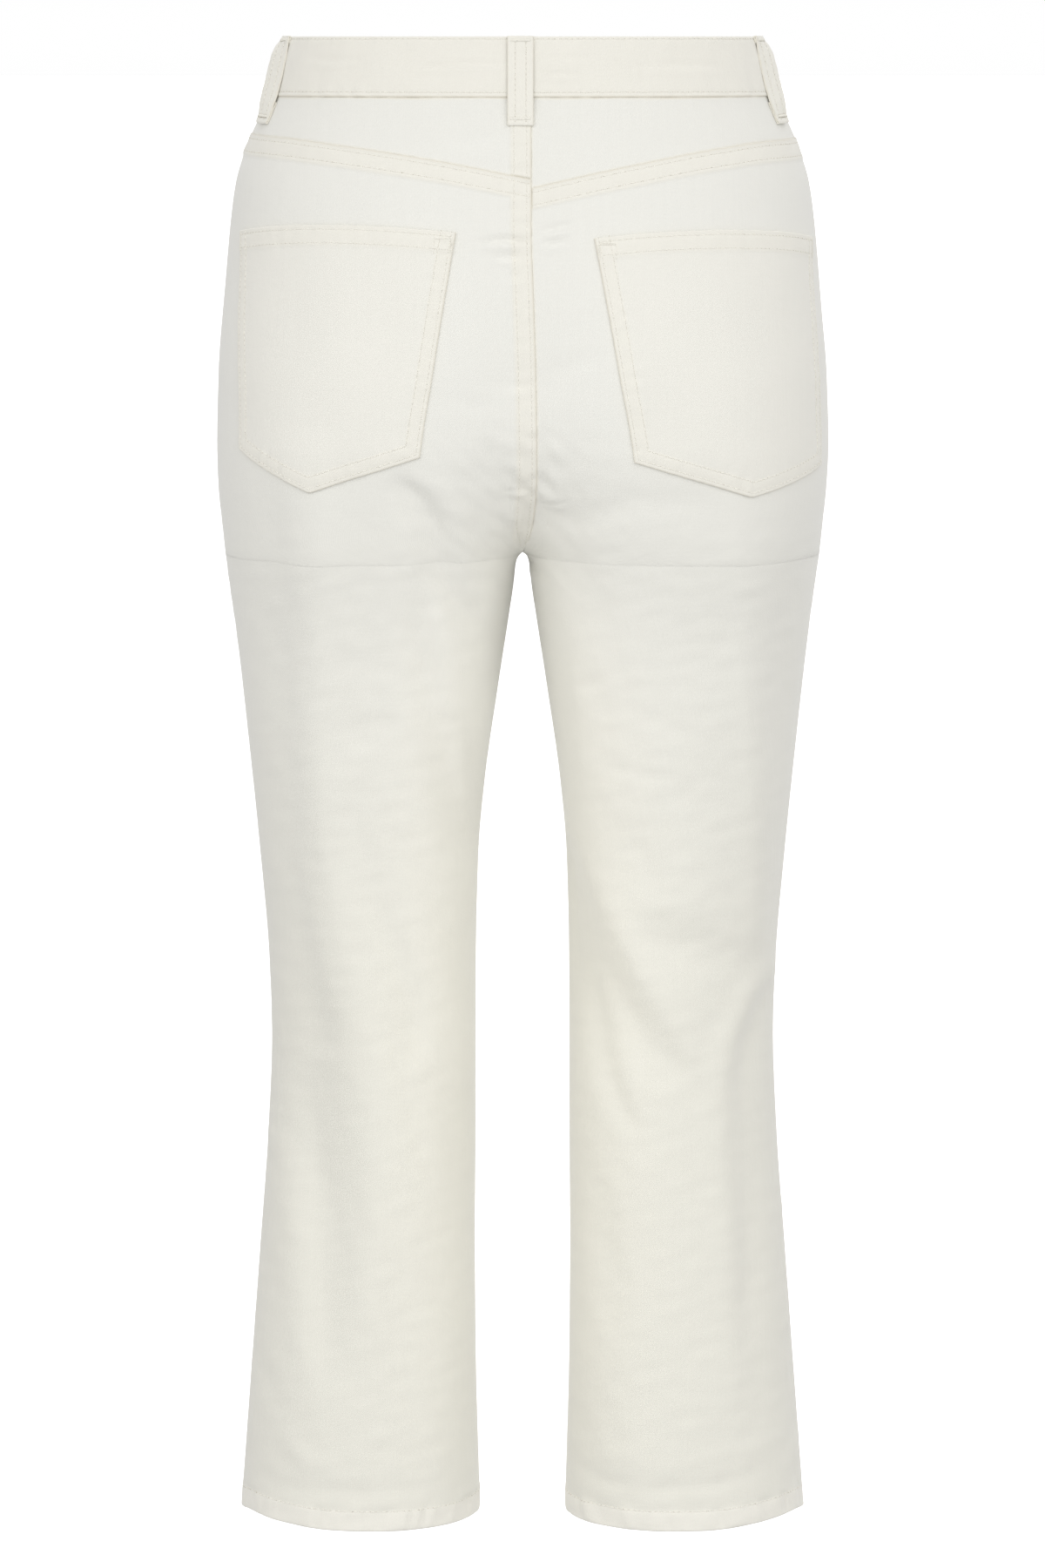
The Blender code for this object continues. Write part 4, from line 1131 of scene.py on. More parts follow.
def columnParts(face):
    # parts of the way across: close together at both edges, with even ones between
    zone = spaced(seams["fold"][0], panels["zone"][face], panels["zoneStep"][face])
    near = np.concatenate([edgeSteps(seams["fold"][0]), zone])
    far = np.concatenate([edgeSteps(seams["side"][0]), spaced(seams["side"][0], *panels["farZone"])])
    count = int(panels["middle"][face] * fineness)
    even = np.linspace(near[-1], panels["width"] - far[-1], count + 2)[1:-1]
    return np.concatenate([near, even, panels["width"] - far[::-1]]) / panels["width"]


def panelDrops(side, face, parts):
    # rows fan out from the slanted top to the crotch, then run level to the hem
    bottom, crotch = garment["length"], garment["crotchDrop"]
    if face == "back":
        top = yokeDrop(side, parts) + seams["gap"] / 2
        lap = spaced(seams["fold"][0], *panels["lapZone"])
        topSteps = np.concatenate([edgeSteps(seams["fold"][0]), lap])
    else:
        top = np.full_like(parts, garment["bandHeight"] - seams["tuck"])
        topSteps = spaced(*panels["frontZone"])
    rows = [top + step for step in topSteps[:-1]]
    fanTop = top + topSteps[-1]
    count = int(panels["fan"][face] * fineness)
    inner = riseParts(face, float(fanTop[0]), count)
    outer = np.linspace(0, 1, count + 1)
    fan = inner[:, None] * (1 - parts) + outer[:, None] * parts
    rows.extend(fanTop + (crotch - fanTop) * part for part in fan)
    radius = seams["hemEdge"][0]
    (crotchDepth, crotchStep), (hemDepth, hemStep) = panels["crotchZone"], panels["hemZone"]
    legTop, hemTop = crotch + crotchDepth, bottom - hemDepth
    level = [spaced(crotch, legTop, crotchStep), spaced(legTop, hemTop, panels["legStep"]),
             spaced(hemTop, bottom - radius, hemStep), bottom - edgeSteps(radius)[-2::-1]]
    rows.extend(np.full_like(top, drop) for drop in np.concatenate(level))
    drop = np.array(rows)
    reach = np.clip((drop - bottom + hemLine["reach"]) / hemLine["reach"], 0, 1)
    return drop - readTable(hemLine, "rise", parts) * reach**2


def centreLines(face, top, bottom):
    # the two rows beside the folded edge of the lapped centre seam, which close at the crotch
    drop = np.linspace(top, bottom, 90)
    close = smoothStep(garment["crotchDrop"] + 6 - drop, 0, 30)
    return [(drop, row * close - lapAt(face, drop)) for row in seams["rows"]]


def yokeLines(side):
    parts = np.linspace(0.004, 1, 70)
    drop = yokeDrop(side, parts)
    return [(drop + row, acrossPanel(side, "back", drop, parts)) for row in seams["rows"]]


def flyLines():
    # straight down beside the opening, then an elliptical turn to the centre seam
    lines = []
    for inset in (0.0, fly["rowGap"]):
        fall = fly["end"] - inset - fly["straight"]
        turn = fly["straight"] + fall * np.sin(np.linspace(0.05, math.pi / 2, 40))
        drop = np.concatenate([np.linspace(fly["top"], fly["straight"], 40), turn])
        part = np.clip((drop - fly["straight"]) / fall, 0, 1)
        reach = fly["width"] - inset + fly["past"]
        lines.append((drop, reach * np.sqrt(1 - part ** fly["turn"]) - fly["past"]))
    return lines


def hemRow(side, face):
    parts = np.linspace(0.002, 0.998, 80)
    drop = garment["length"] - seams["hemDepth"] - readTable(hemLine, "rise", parts)
    return drop, acrossPanel(side, face, drop, parts)


def panelLines(side, face):
    # all the rows of stitches on a panel, but the lapped ones only on the left side
    lines = [hemRow(side, face)]
    if face == "back":
        lines += yokeLines(side)
    if side == left:
        lines += centreLines(face, *centreLap["sewn"][face])
    if side == left and face == "front":
        lines += flyLines()
    return lines


def stripWidth(face, drop):
    # how far the left side's extra layers reach from the folded edge
    if face == "back":
        return np.full_like(drop, seams["stripWidth"])
    turn = smoothStep(drop, fly["stripTurn"], fly["end"])
    return np.maximum(fly["strip"] * np.sqrt(1 - turn**2) + lapAt(face, drop), seams["stripWidth"])


def seamShadeShare(distance):
    # painted warm shade in a seam: full in it, and gone a millimetre away
    return 1 - smoothStep(distance, *seams["tint"])


def hemRoping(arc, fromHem, fromEdges, seed):
    # the doubled hem stands out, and slanted waves run through it but for its two ends
    along, slant, spread = hemLine["ropingSlant"]
    waves = softNoise(along * arc + slant * fromHem, spread * arc, hemLine["ropingSize"], seed)
    inHem = (1 - smoothStep(fromHem, *hemLine["ropingZone"])) * smoothStep(fromHem, -1, 3)
    doubled = 1 - smoothStep(fromHem, hemLine["turn"][0] + 0.5, hemLine["turn"][1])
    height = hemLine["roping"] * waves * inHem + hemLine["raise"] * doubled
    return height * smoothStep(fromEdges, 0, 14)


def seamStreaks(drop, arc, fromSide, seed):
    # ripples that follow the side seam, a little way in from it
    plan = sideStreaks
    ripples = plan["height"] * softNoise(1.6 * arc, 0.22 * drop, plan["size"], seed)
    zone = smoothStep(fromSide, *plan["inner"]) * (1 - smoothStep(fromSide, *plan["outer"]))
    return ripples * smoothStep(drop, *plan["drops"]) * zone


def panelShape(side, face, lines, seed):
    # gives a panel's outer and inner height over the plain surface, and its layers, with painted warm
    # shade in its seams added above 1
    def shape(drop, arc):
        fromCentre, fromSide, part = placeOnPanel(side, face, drop, arc)
        top = garment["bandHeight"] - seams["tuck"]
        if face == "back":
            top = yokeDrop(side, part) + seams["gap"] / 2
        fromTop = drop - top
        fromHem = garment["length"] - readTable(hemLine, "rise", part) - drop
        toCrotch = garment["crotchDrop"] - drop
        upper = smoothStep(toCrotch, 0, 20)
        layers, over, under = np.zeros_like(drop), np.zeros_like(drop), np.zeros_like(drop)
        if face == "back":
            layers = stepDown(fromTop, yokeSeam["lap"])
            over = lapped(fromTop)
        else:
            under = 1 - smoothStep(fromTop, seams["tuck"] - 0.6, seams["tuck"] + 0.3)
        if side == left:
            layers = np.maximum(layers, stepDown(fromCentre, stripWidth(face, drop)) * upper)
            over = np.maximum(over, lapped(fromCentre) * upper)
            fromSeam = fromCentre
        else:
            hidden = underLap(fromCentre - tuckAt(drop)) * smoothStep(toCrotch, *seams["tuckFade"])
            under = np.maximum(under, hidden)
            fromSeam = np.abs(fromCentre - tuckAt(drop))
        fromSeam = np.where(upper > 0.5, fromSeam, garment["length"])
        fromSeam = np.minimum(fromSeam, fromTop if face == "back" else np.abs(fromTop - seams["tuck"]))
        outer = seams["raise"] * layers + sewnHeight(lines, drop, arc, seed)
        outer = outer + hemRoping(arc, fromHem, np.minimum(fromSide, fromCentre), seed + 20)
        outer = outer + seamStreaks(drop, arc, fromSide, seed + 30)
        outer = outer * (1 - under) + seams["under"] * under
        outer = outer + rolledEdge(fromSide, *seams["side"]) + rolledEdge(fromHem, *seams["hemEdge"])
        outer = outer + rolledEdge(fromCentre, *seams["side"]) * (1 - upper)
        if side == left:
            outer = outer + rolledEdge(fromCentre, *seams["fold"]) * upper
        if face == "back":
            outer = outer + rolledEdge(fromTop, *seams["fold"])
        turned = 1 - smoothStep(fromHem, *hemLine["turn"])
        layers = np.maximum(layers, turned)
        wall = seams["cloth"] + (seams["hemWall"] - seams["cloth"]) * turned
        inner = seams["lip"] * over - wall * (1 - over) - rolledEdge(fromHem, *seams["hemEdge"])
        return outer, np.minimum(inner, outer - seams["thinnest"]), layers + seamShadeShare(fromSeam)
    return shape


def yokeShape(side, lines, seed):
    # the same for a yoke, which lies under the band, the back's lap and the left yoke
    def shape(drop, arc):
        fromCentre, fromSide, part = placeOnPanel(side, "back", drop, arc)
        fromSeam, fromBand = yokeDrop(side, part) - drop, drop - garment["bandHeight"]
        under = np.maximum(1 - smoothStep(fromBand, -0.6, 0.3), underLap(fromSeam))
        layers, over = np.zeros_like(drop), np.zeros_like(drop)
        if side == left:
            layers, over = stepDown(fromCentre, seams["stripWidth"]), lapped(fromCentre)
            toCentre = fromCentre
        else:
            under = np.maximum(under, underLap(fromCentre - seams["tuck"]))
            toCentre = np.abs(fromCentre - seams["tuck"])
        outer = seams["raise"] * layers + sewnHeight(lines, drop, arc, seed)
        outer = outer * (1 - under) + seams["under"] * under
        outer = outer + rolledEdge(fromSide, *seams["side"])
        if side == left:
            outer = outer + rolledEdge(fromCentre, *seams["fold"])
        inner = -seams["cloth"] * (1 - over) + seams["lip"] * over * (1 - under)
        # painted warm shade in the seams, twice as strong under the band
        tint = seamShadeShare(np.minimum(np.abs(fromSeam), toCentre)) + 2 * seamShadeShare(np.abs(fromBand))
        return outer, np.minimum(inner, outer - seams["thinnest"]), layers + tint
    return shape


def declareCloth(group, area=None):
    # the stitches sewn on a piece, if it has any; area is not used
    stitches = [makeStitches(group)] if group in threadPaths else []


def gridArea(drop, arc):
    # the flat area of a grid of drops and arcs
    a, b = drop[1:, 1:] - drop[:-1, :-1], arc[1:, 1:] - arc[:-1, :-1]
    c, d = drop[1:, :-1] - drop[:-1, 1:], arc[1:, :-1] - arc[:-1, 1:]
    return float(np.abs(a * d - b * c).sum() / 2)


def makeClothPiece(name, side, face, drop, arc, shape):
    # the wall over a grid of drops and arcs
    # layers above 1 are painted warm shade in the seams
    outer, inner, layers = shape(drop, arc)
    skin = Skin(side, face, drop, arc)
    walls = skin.lift(outer), skin.lift(inner)
    piece = clothWall(name + "_cloth", *walls, skin.weave(), layers, panelTwill)
    return finishPiece(piece, "twill", name)


def makeSewnPiece(name, side, face, drop, arc, shape, lines):
    piece = makeClothPiece(name, side, face, drop, arc, shape)
    for line in lines:
        sewOnCloth(name, side, face, line, shape)
    declareCloth(name, gridArea(drop, arc))


# a yoke's rows: its ends, and the steps in them and between, as parts of its height
yokeRows = {"ends": (0.09, 0.86), "top": 0.02, "middle": 0.035, "bottom": 0.012}


def makePanel(side, face):
    name = sided(face, side)
    lines = panelLines(side, face)
    seed = 100 + 40 * (side == left) + 10 * (face == "back")
    shape = panelShape(side, face, lines, seed)
    parts = columnParts(face)
    drop = panelDrops(side, face, parts)
    arc = acrossPanel(side, face, drop, parts)
    makeSewnPiece(name, side, face, drop, arc, shape, lines)


def makeYoke(side):
    name = sided("yoke", side)
    lines = centreLines("back", *centreLap["sewn"]["yoke"]) if side == left else []
    shape = yokeShape(side, lines, 300 + 10 * (side == left))
    parts = columnParts("back")
    top = garment["bandHeight"] - seams["tuck"]
    bottom = yokeDrop(side, parts) + seams["tuck"]
    upper, lower = yokeRows["ends"]
    steps = np.concatenate([[0], spaced(0, upper, yokeRows["top"]),
                            spaced(upper, lower, yokeRows["middle"]),
                            spaced(lower, 1, yokeRows["bottom"])])
    drop = top + (bottom - top) * steps[:, None]
    arc = acrossPanel(side, "back", drop, parts)
    makeSewnPiece(name, side, "back", drop, arc, shape, lines)


for side in (left, right):
    makeYoke(side)
    makePanel(side, "back")
    makePanel(side, "front")
print("yokes and panels made")

# The waistband: one strip round the waist, whose right end runs on under the left one
band = {
    "raise": 0.7,
    "wall": 2.4,
    "lap": 14.0,
    "ramp": (19.0, 40.0),  # where the underlap sinks, from the centre front
    "sink": 2.9,
    "rows": (1.7, 32.2),
    "edge": 1.2,  # the radius of the top edge and of the two ends
    "end": 1.0,
    "thinEnd": 0.15,  # the wall's thickness at an end, as a part of the usual one
    "bulge": 0.25,
    "waves": 0.16,  # the height and size of the slow waves along it
    "waveSize": 20.0,
    "columnStep": 1.9,
    "rowZones": (4.2, 29.6),  # the drops between which the grid's rows are wide apart
    "rowSteps": (0.5, 1.6),
}
bandMiddle = garment["bandHeight"] / 2


def bandStretches():
    # side, face, and parts of the arc from the left front end round to the right front end
    girth = {face: girthOf(np.full(1, bandMiddle), face)[0] for face in ("back", "front")}
    frontCount, backCount = (int(girth[face] / band["columnStep"] * fineness)
                             for face in ("front", "back"))
    front = np.concatenate([edgeSteps(band["end"])[:-1] - band["lap"],
                            np.linspace(band["end"] - band["lap"], girth["front"], frontCount)])
    front = front / girth["front"]
    back = np.linspace(1, 0, backCount)[1:]
    return ((left, "front", front), (left, "back", back), (right, "back", back[::-1][1:]),
            (right, "back", np.ones(1)), (right, "front", front[::-1][1:]))


def bandStretch(side, face, drop, arc, along):
    # one stretch's points: outside, inside and just above the outside
    sunk = np.zeros_like(arc)
    if (side, face) == (right, "front"):
        sunk = 1 - smoothStep(arc, *band["ramp"])
    fromBottom = garment["bandHeight"] - seams["gap"] / 2 - drop
    height = band["raise"] + band["bulge"] * np.sin(math.pi * drop / garment["bandHeight"])
    for place, row in enumerate(band["rows"]):
        height = height + rowHeight(np.abs(drop - row), along + 0 * drop, 400 + place)
    height = height + band["waves"] * softNoise(along + 0.4 * drop, 0.8 * drop, band["waveSize"], 410)
    ending = rounded(arc + band["lap"], band["end"]) if face == "front" else np.ones_like(arc)
    inside = band["raise"] - band["wall"]
    centre = (band["raise"] + inside) / 2
    thickness = rounded(drop, band["edge"]) * (band["thinEnd"] + (1 - band["thinEnd"]) * ending)
    height = centre + (height - centre) * thickness + rolledEdge(fromBottom, *seams["fold"])
    lip = lapped(fromBottom) * (1 - sunk)
    under = (centre + (inside - centre) * thickness) * (1 - lip) + seams["lip"] * lip
    under = np.minimum(under, height - seams["thinnest"])
    sink = band["sink"] * sunk
    skin = Skin(side, face, drop, arc)
    return skin.lift(height - sink), skin.lift(under - sink), skin.lift(height - sink + 0.5)


def bandSurface(drop):
    # all the stretches' points, and along, the distance once round from end to end
    drop = np.asarray(drop, float)[:, None]
    stretches = []
    reached = -band["lap"]
    for side, face, parts in bandStretches():
        arc = parts * girthOf(drop, face)
        middle = parts * girthOf(np.full(1, bandMiddle), face)[0]
        along = middle if (side == left) == (face == "front") else -middle
        start = reached if (side, face) == (left, "front") else reached + band["columnStep"]
        along = along - along[0] + start
        reached = along[-1]
        stretches.append((*bandStretch(side, face, drop, arc, along), along + 0 * arc))
    return [np.concatenate(kind, axis=1) for kind in zip(*stretches)]


def makeWaistband():
    bottom = garment["bandHeight"] - seams["gap"] / 2
    fold = seams["fold"][0]
    (upper, lower), (close, wide) = band["rowZones"], band["rowSteps"]
    drop = np.concatenate([edgeSteps(band["edge"]), spaced(band["edge"], upper, close),
                           spaced(upper, lower, wide), spaced(lower, bottom - fold, close),
                           bottom - edgeSteps(fold)[-2::-1]])
    outer, inner, _, along = bandSurface(drop)
    weave = np.stack([along, -drop[:, None] + 0 * along], -1) * mm
    # painted warm shade along the band's bottom edge
    layers = 1 + seamShadeShare(bottom - drop)[:, None]
    piece = clothWall("waistband_cloth", outer, inner, weave, layers, layeredTwill)
    for row in band["rows"]:
        line, _, over, _ = bandSurface([row])
        sewRow("waistband", line[0], over[0])
    finishPiece(piece, "twill", "waistband")
    declareCloth("waistband")


makeWaistband()
print("waistband made")

# Patch pockets. Corners: arc from the centre seam and drop, on the left and on the right.
pocketPlan = {
    "topInner": {left: (38.0, 112.0), right: (41.0, 115.3)},
    "topMiddle": {left: (114.0, 108.0), right: (118.0, 111.0)},
    "topOuter": {left: (190.0, 112.7), right: (203.0, 116.5)},
    "bottomOuter": {left: (181.0, 238.0), right: (204.0, 248.5)},
    "point": {left: (126.0, 261.0), right: (136.5, 264.0)},
    "bottomInner": {left: (60.5, 240.5), right: (66.0, 243.3)},
    "gap": 0.1,
    "cloth": 1.15,
    "turned": 0.25,  # the seam allowance under the edges
    "turnedWidth": 9.6,
    "hemRaise": 0.45,
    "hemDepth": 12.0,
    "gape": 0.3,  # how far the opening stands off, and how far down that reaches
    "gapeReach": 22.0,
    "edge": 0.9,  # the radius of its edges, and their height at the border
    "edgeHeight": 0.16,
    "thinnest": 0.05,
    "tint": 0.55,  # the layers' tint where the cloth lies single
    "hemRows": (2.6, 10.4),
    "hemInset": 2.6 / 152,  # where the hem's rows end, as a part of the width
    "edgeRows": (2.6, 8.8),
    "pitch": 3.2,
    "zone": (12.5, 0.95),  # the close grid along the edges: its width and its step
    "grid": (150.0, 135.0),  # the grid's spacing is exact at this size
    "middle": (52, 46),  # how many columns and rows lie between
}
# the tacks at the opening's corners: drops and arcs from the corner, width and stitches
cornerTack = {
    "drop": 3.4,
    "inset": 2.8,
    "across": (12.6, 1.3, 16),
    "down": (3.0, 12.5, 1.3, 14),
    "row": (0.3, 2.2),  # the short row on the inner corner: its slant and its pitch
}


def movedLine(points, distance):
    # a line moved sideways: each corner lies where its two moved sides meet
    points = np.asarray(points, float)
    run = np.diff(points, axis=0)
    run /= np.linalg.norm(run, axis=1, keepdims=True)
    aside = np.column_stack([run[:, 1], -run[:, 0]])
    bend = aside[:-1] + aside[1:]
    bend /= (bend * aside[:-1]).sum(axis=1, keepdims=True)
    ends = points[[0, -1]] + aside[[0, -1]] * distance
    return np.vstack([ends[:1], points[1:-1] + bend * distance, ends[1:]])


def pocketTop(side, across):
    # a shallow arc through the two top corners, highest in the middle
    across = np.asarray(across, float)[..., None]
    inner, outer = (np.array(pocketPlan[key][side]) for key in ("topInner", "topOuter"))
    rise = np.array(pocketPlan["topMiddle"][side]) - (inner + outer) / 2
    return inner * (1 - across) + outer * across + 4 * across * (1 - across) * rise


def swapped(line):
    # arcs and drops as drops and arcs
    return line[:, 1], line[:, 0]


def pocketLines(side):
    # the outline below the opening, the top edge, and the rows of stitches
    names = ("topInner", "bottomInner", "point", "bottomOuter", "topOuter")
    outline = np.array([pocketPlan[key][side] for key in names])
    top = pocketTop(side, np.linspace(0, 1, 30))
    rows = [movedLine(outline, distance) for distance in pocketPlan["edgeRows"]]
    hem = pocketTop(side, np.linspace(pocketPlan["hemInset"], 1 - pocketPlan["hemInset"], 30))
    rows += [hem + np.array([0, distance]) for distance in pocketPlan["hemRows"]]
    return swapped(outline), swapped(top), [swapped(row) for row in rows]


def pocketShape(side, outline, top, lines, seed):
    # gives a pocket's outer and inner height over the plain surface, and its layers, with painted warm
    # shade along its edges added above 1
    plan = pocketPlan
    width = plan["topOuter"][side][0] - plan["topInner"][side][0]

    def shape(drop, arc):
        fromEdge = nearLine(outline, drop, arc)[0]
        fromTop, along = nearLine(top, drop, arc, 60.0)
        hem, turned = stepDown(fromTop, plan["hemDepth"]), stepDown(fromEdge, plan["turnedWidth"])
        height = plan["gap"] + plan["cloth"] + plan["hemRaise"] * hem + plan["turned"] * turned
        height = height + sewnHeight(lines, drop, arc, seed)
        bow = np.sin(math.pi * np.clip(along / width, 0, 1)) ** 0.7
        gape = plan["gape"] * bow * np.exp(-((fromTop / plan["gapeReach"]) ** 2))
        height = plan["edgeHeight"] + (height - plan["edgeHeight"]) * rounded(fromEdge, plan["edge"])
        opening = rounded(fromTop, plan["edge"])
        middle = (height + plan["gap"]) / 2
        outer = middle + (height - middle) * opening + gape
        inner = middle - (middle - plan["gap"]) * opening + gape
        layers = np.clip(plan["tint"] + (1 - plan["tint"]) * (hem + turned), 0, 1)
        return outer, np.minimum(inner, outer - plan["thinnest"]), layers + seamShadeShare(fromEdge)
    return shape


def pocketGrid(side):
    # drops and arcs: even steps from the curved top down to the pointed bottom
    plan = pocketPlan
    edge = np.concatenate([edgeSteps(plan["edge"]), spaced(plan["edge"], *plan["zone"])])
    parts = []
    for size, count in zip(plan["grid"], plan["middle"]):
        middle = np.linspace(edge[-1], size - edge[-1], int(count * fineness) + 2)[1:-1]
        parts.append(np.concatenate([edge, middle, size - edge[::-1]]) / size)
    across, down = parts
    inner, point, outer = (np.array(plan[key][side]) for key in ("bottomInner", "point", "bottomOuter"))
    half = 0.5
    near = (point - inner) * np.clip(across / half, 0, 1)[:, None]
    far = (outer - point) * np.clip(across / half - 1, 0, 1)[:, None]
    bottom = inner + near + far
    place = pocketTop(side, across) * (1 - down[:, None, None]) + bottom * down[:, None, None]
    return place[..., 1], place[..., 0]


def tackCorners(name, side, shape):
    # a tack down each edge from the corner, and on the inner one a tack across and a short row
    for key, turn in (("topInner", 1), ("topOuter", -1)):
        cornerArc, cornerDrop = pocketPlan[key][side]
        reach, acrossWidth, acrossCount = cornerTack["across"]
        inset, depth, downWidth, downCount = cornerTack["down"]
        start = (cornerDrop + cornerTack["drop"], cornerArc + turn * cornerTack["inset"])
        end = (start[0], cornerArc + turn * reach)
        lower = (cornerDrop + depth, cornerArc + turn * inset)
        if turn > 0:
            sewBarTack(name, side, "back", start, end, acrossWidth, acrossCount, shape)
            slant, pitch = cornerTack["row"]
            row = np.array([[end[0], lower[0]], [end[1], end[1] + slant]])
            sewOnCloth(name, side, "back", row, shape, pitch)
        sewBarTack(name, side, "back", start, lower, downWidth, downCount, shape)


def makePocket(side):
    name = sided("pocket", side)
    outline, top, lines = pocketLines(side)
    shape = pocketShape(side, outline, top, lines, 500 + 20 * (side == left))
    drop, arc = pocketGrid(side)
    piece = makeClothPiece(name, side, "back", drop, arc, shape)
    for line in lines:
        sewOnCloth(name, side, "back", line, shape, pocketPlan["pitch"])
    tackCorners(name, side, shape)
    declareCloth(name, gridArea(drop, arc))


for side in (left, right):
    makePocket(side)
print("pockets made")

# Belt loops: a strip with both ends folded under, sewn down at the top and the bottom
loopPlan = {
    "width": 15.0,
    "thick": 1.0,
    "top": 0.5,
    "bottom": 50.9,
    "returnTop": 4.5,  # the drops to which the folded ends reach
    "returnBottom": 38.5,
    "slant": (0.4, 50.5),  # the drops between which it slants
    "seat": 0.03,
    "nips": (0.12, 0.15),  # between the two layers at the top fold and at the bottom one
    "settle": (38.0, 49.0),  # where the strip comes down off the band, and its folded end
    "foldedSettle": (34.5, 38.5),
    "rough": (0.05, 5.0),
    # painted warm shade along the strip's edges: how strong it is, and where it lies
    "edgeTint": 0.6,
    "edgeZone": (0.9, 0.3),
    "rows": (-3.2, 3.0),
    "groove": (0.11, 0.7),  # a row's depth and its width
    "pitch": 3.0,
    "tacks": (2.8, 47.4),
    "tack": (5.8, 2.2, 18),  # half its length, its width and its stitches
    "bow": {
        "columns": ("drop", "part"),
        "rows": ((0.4, 0), (3.0, 0.12), (7, 0.62), (12, 0.92), (20, 1), (32, 0.98), (39, 0.84),
                 (44, 0.58), (47, 0.40), (51, 0.30)),
    },
}
# side, face, arc at the top and at the bottom, whether from the side seam, and how far the
# middle of the loop stands off at its inner and its outer edge
loops = {
    "loop_back": (left, "back", 1.2, 1.2, False, 0.0, 0.0),
    "loop_side_left": (left, "back", 27.0, 36.0, True, -0.9, 4.0),
    "loop_side_right": (right, "back", 27.0, 36.0, True, -0.9, 4.0),
    "loop_front_left": (left, "front", 88.0, 90.0, False, 1.2, 1.2),
    "loop_front_right": (right, "front", 88.0, 90.0, False, 1.2, 1.2),
}


def loopPath():
    # the strip's middle line, as drops and heights: up under the top fold, down the front,
    # and back up under the bottom fold, with half a circle at each fold
    thick, low = loopPlan["thick"], loopPlan["seat"] + loopPlan["thick"] / 2
    lowTop = band["raise"] + low
    highTop, high = (start + thick + nip for start, nip in zip((lowTop, low), loopPlan["nips"]))
    turn = np.linspace(0, math.pi, 11)
    topRadius, radius = (highTop - lowTop) / 2, (high - low) / 2
    first, last = loopPlan["top"] + topRadius, loopPlan["bottom"] - radius
    drop = np.linspace(first, last, 70)[1:-1]
    settled = smoothStep(drop, *loopPlan["settle"])
    upper = np.linspace(loopPlan["returnTop"], first, 8)[:-1]
    lower = np.linspace(last, loopPlan["returnBottom"], 12)[1:]
    drops = np.concatenate([upper, first - topRadius * np.sin(turn), drop,
                            last + radius * np.sin(turn), lower])
    heights = np.concatenate([np.full(len(upper), lowTop),
                              (lowTop + highTop) / 2 - topRadius * np.cos(turn),
                              highTop * (1 - settled) + high * settled,
                              (low + high) / 2 + radius * np.cos(turn),
                              low + band["raise"] * (1 - smoothStep(lower, *loopPlan["foldedSettle"]))])
    start = len(upper) + len(turn)
    return drops, heights, slice(start, start + len(drop))


def stripSection():
    # points round a flat strip with round edges, as offsets across it and out of it
    half, r = loopPlan["width"] / 2, loopPlan["thick"] / 2
    depth, width = loopPlan["groove"]
    flat = np.linspace(-half + r, half - r, 25)
    edge = np.linspace(0, math.pi, 7)[1:-1]
    top = r - depth * sum(np.exp(-(((flat - row) / width) ** 2)) for row in loopPlan["rows"])
    across = np.concatenate([flat, half - r + r * np.sin(edge), flat[::-4], -half + r - r * np.sin(edge)])
    out = np.concatenate([top, r * np.cos(edge), np.full(len(flat[::-4]), -r), -r * np.cos(edge)])
    return across, out


class LoopStrip:
    # a loop's strip laid along its path; at() gives the points at offsets across it and out
    def __init__(self, side, face, topArc, bottomArc, fromSide, innerBow, outerBow):
        self.side, self.face, self.bows = side, face, (innerBow, outerBow)
        self.drops, self.heights, self.front = loopPath()
        runDrop, runHeight = np.gradient(self.drops), np.gradient(self.heights)
        size = np.hypot(runDrop, runHeight)
        self.outDrop, self.outHeight = -runHeight / size, runDrop / size
        self.walk = walked(size[1:])
        top, bottom = loopPlan["slant"]
        self.middle = topArc + (bottomArc - topArc) * ((self.drops - top) / (bottom - top))
        if fromSide:
            self.middle = girthOf(self.drops, face) - self.middle
        outside = slice(self.front.start, None)
        self.bow = np.zeros(len(self.drops))
        self.bow[outside] = readTable(loopPlan["bow"], "part", self.drops[outside])
        self.folded = np.arange(len(self.drops)) >= self.front.stop

    def at(self, across, out, rows=slice(None)):
        inner, outer = self.bows
        toOuter = np.clip(across / loopPlan["width"] + 0.5, 0, 1)
        swing = self.bow[rows, None] * (inner + (outer - inner) * toOuter)
        swing = np.where(self.folded[rows, None], np.maximum(swing, 0), swing)
        drop = self.drops[rows, None] + self.outDrop[rows, None] * out
        arc = np.broadcast_to(self.middle[rows, None] + across, drop.shape)
        height = self.heights[rows, None] + self.outHeight[rows, None] * out + swing
        return Skin(self.side, self.face, drop, arc).lift(height)


def sewLoop(name, strip):
    # the two long rows, and a bar tack at each end
    surface = loopPlan["thick"] / 2
    spots = np.arange(len(strip.drops))[strip.front]
    for row in loopPlan["rows"]:
        line = strip.at(np.array([[row]]), np.array([[surface - 0.1]]), spots)[:, 0]
        over = strip.at(np.array([[row]]), np.array([[surface + 0.5]]), spots)[:, 0]
        sewRow(name, line, over, loopPlan["pitch"])
    half, width, count = loopPlan["tack"]
    for place in loopPlan["tacks"]:
        drop, across = barTack((place, -half), (place, half), width, count)
        spot = np.interp(drop, strip.drops[strip.front], spots.astype(float))
        i = np.clip(spot.astype(int), 0, len(strip.drops) - 2)
        t = (spot - i)[:, None, None]
        out = np.array([[surface + 0.1]])
        low, high = strip.at(across[:, None], out, i), strip.at(across[:, None], out, i + 1)
        line = (low * (1 - t) + high * t)[:, 0]
        over = strip.at(across[:, None], out + 0.5, i)[:, 0]
        lengths = np.linalg.norm(np.diff(line, axis=0), axis=1)
        sewRow(name, line, over, lengths.mean() / mm)


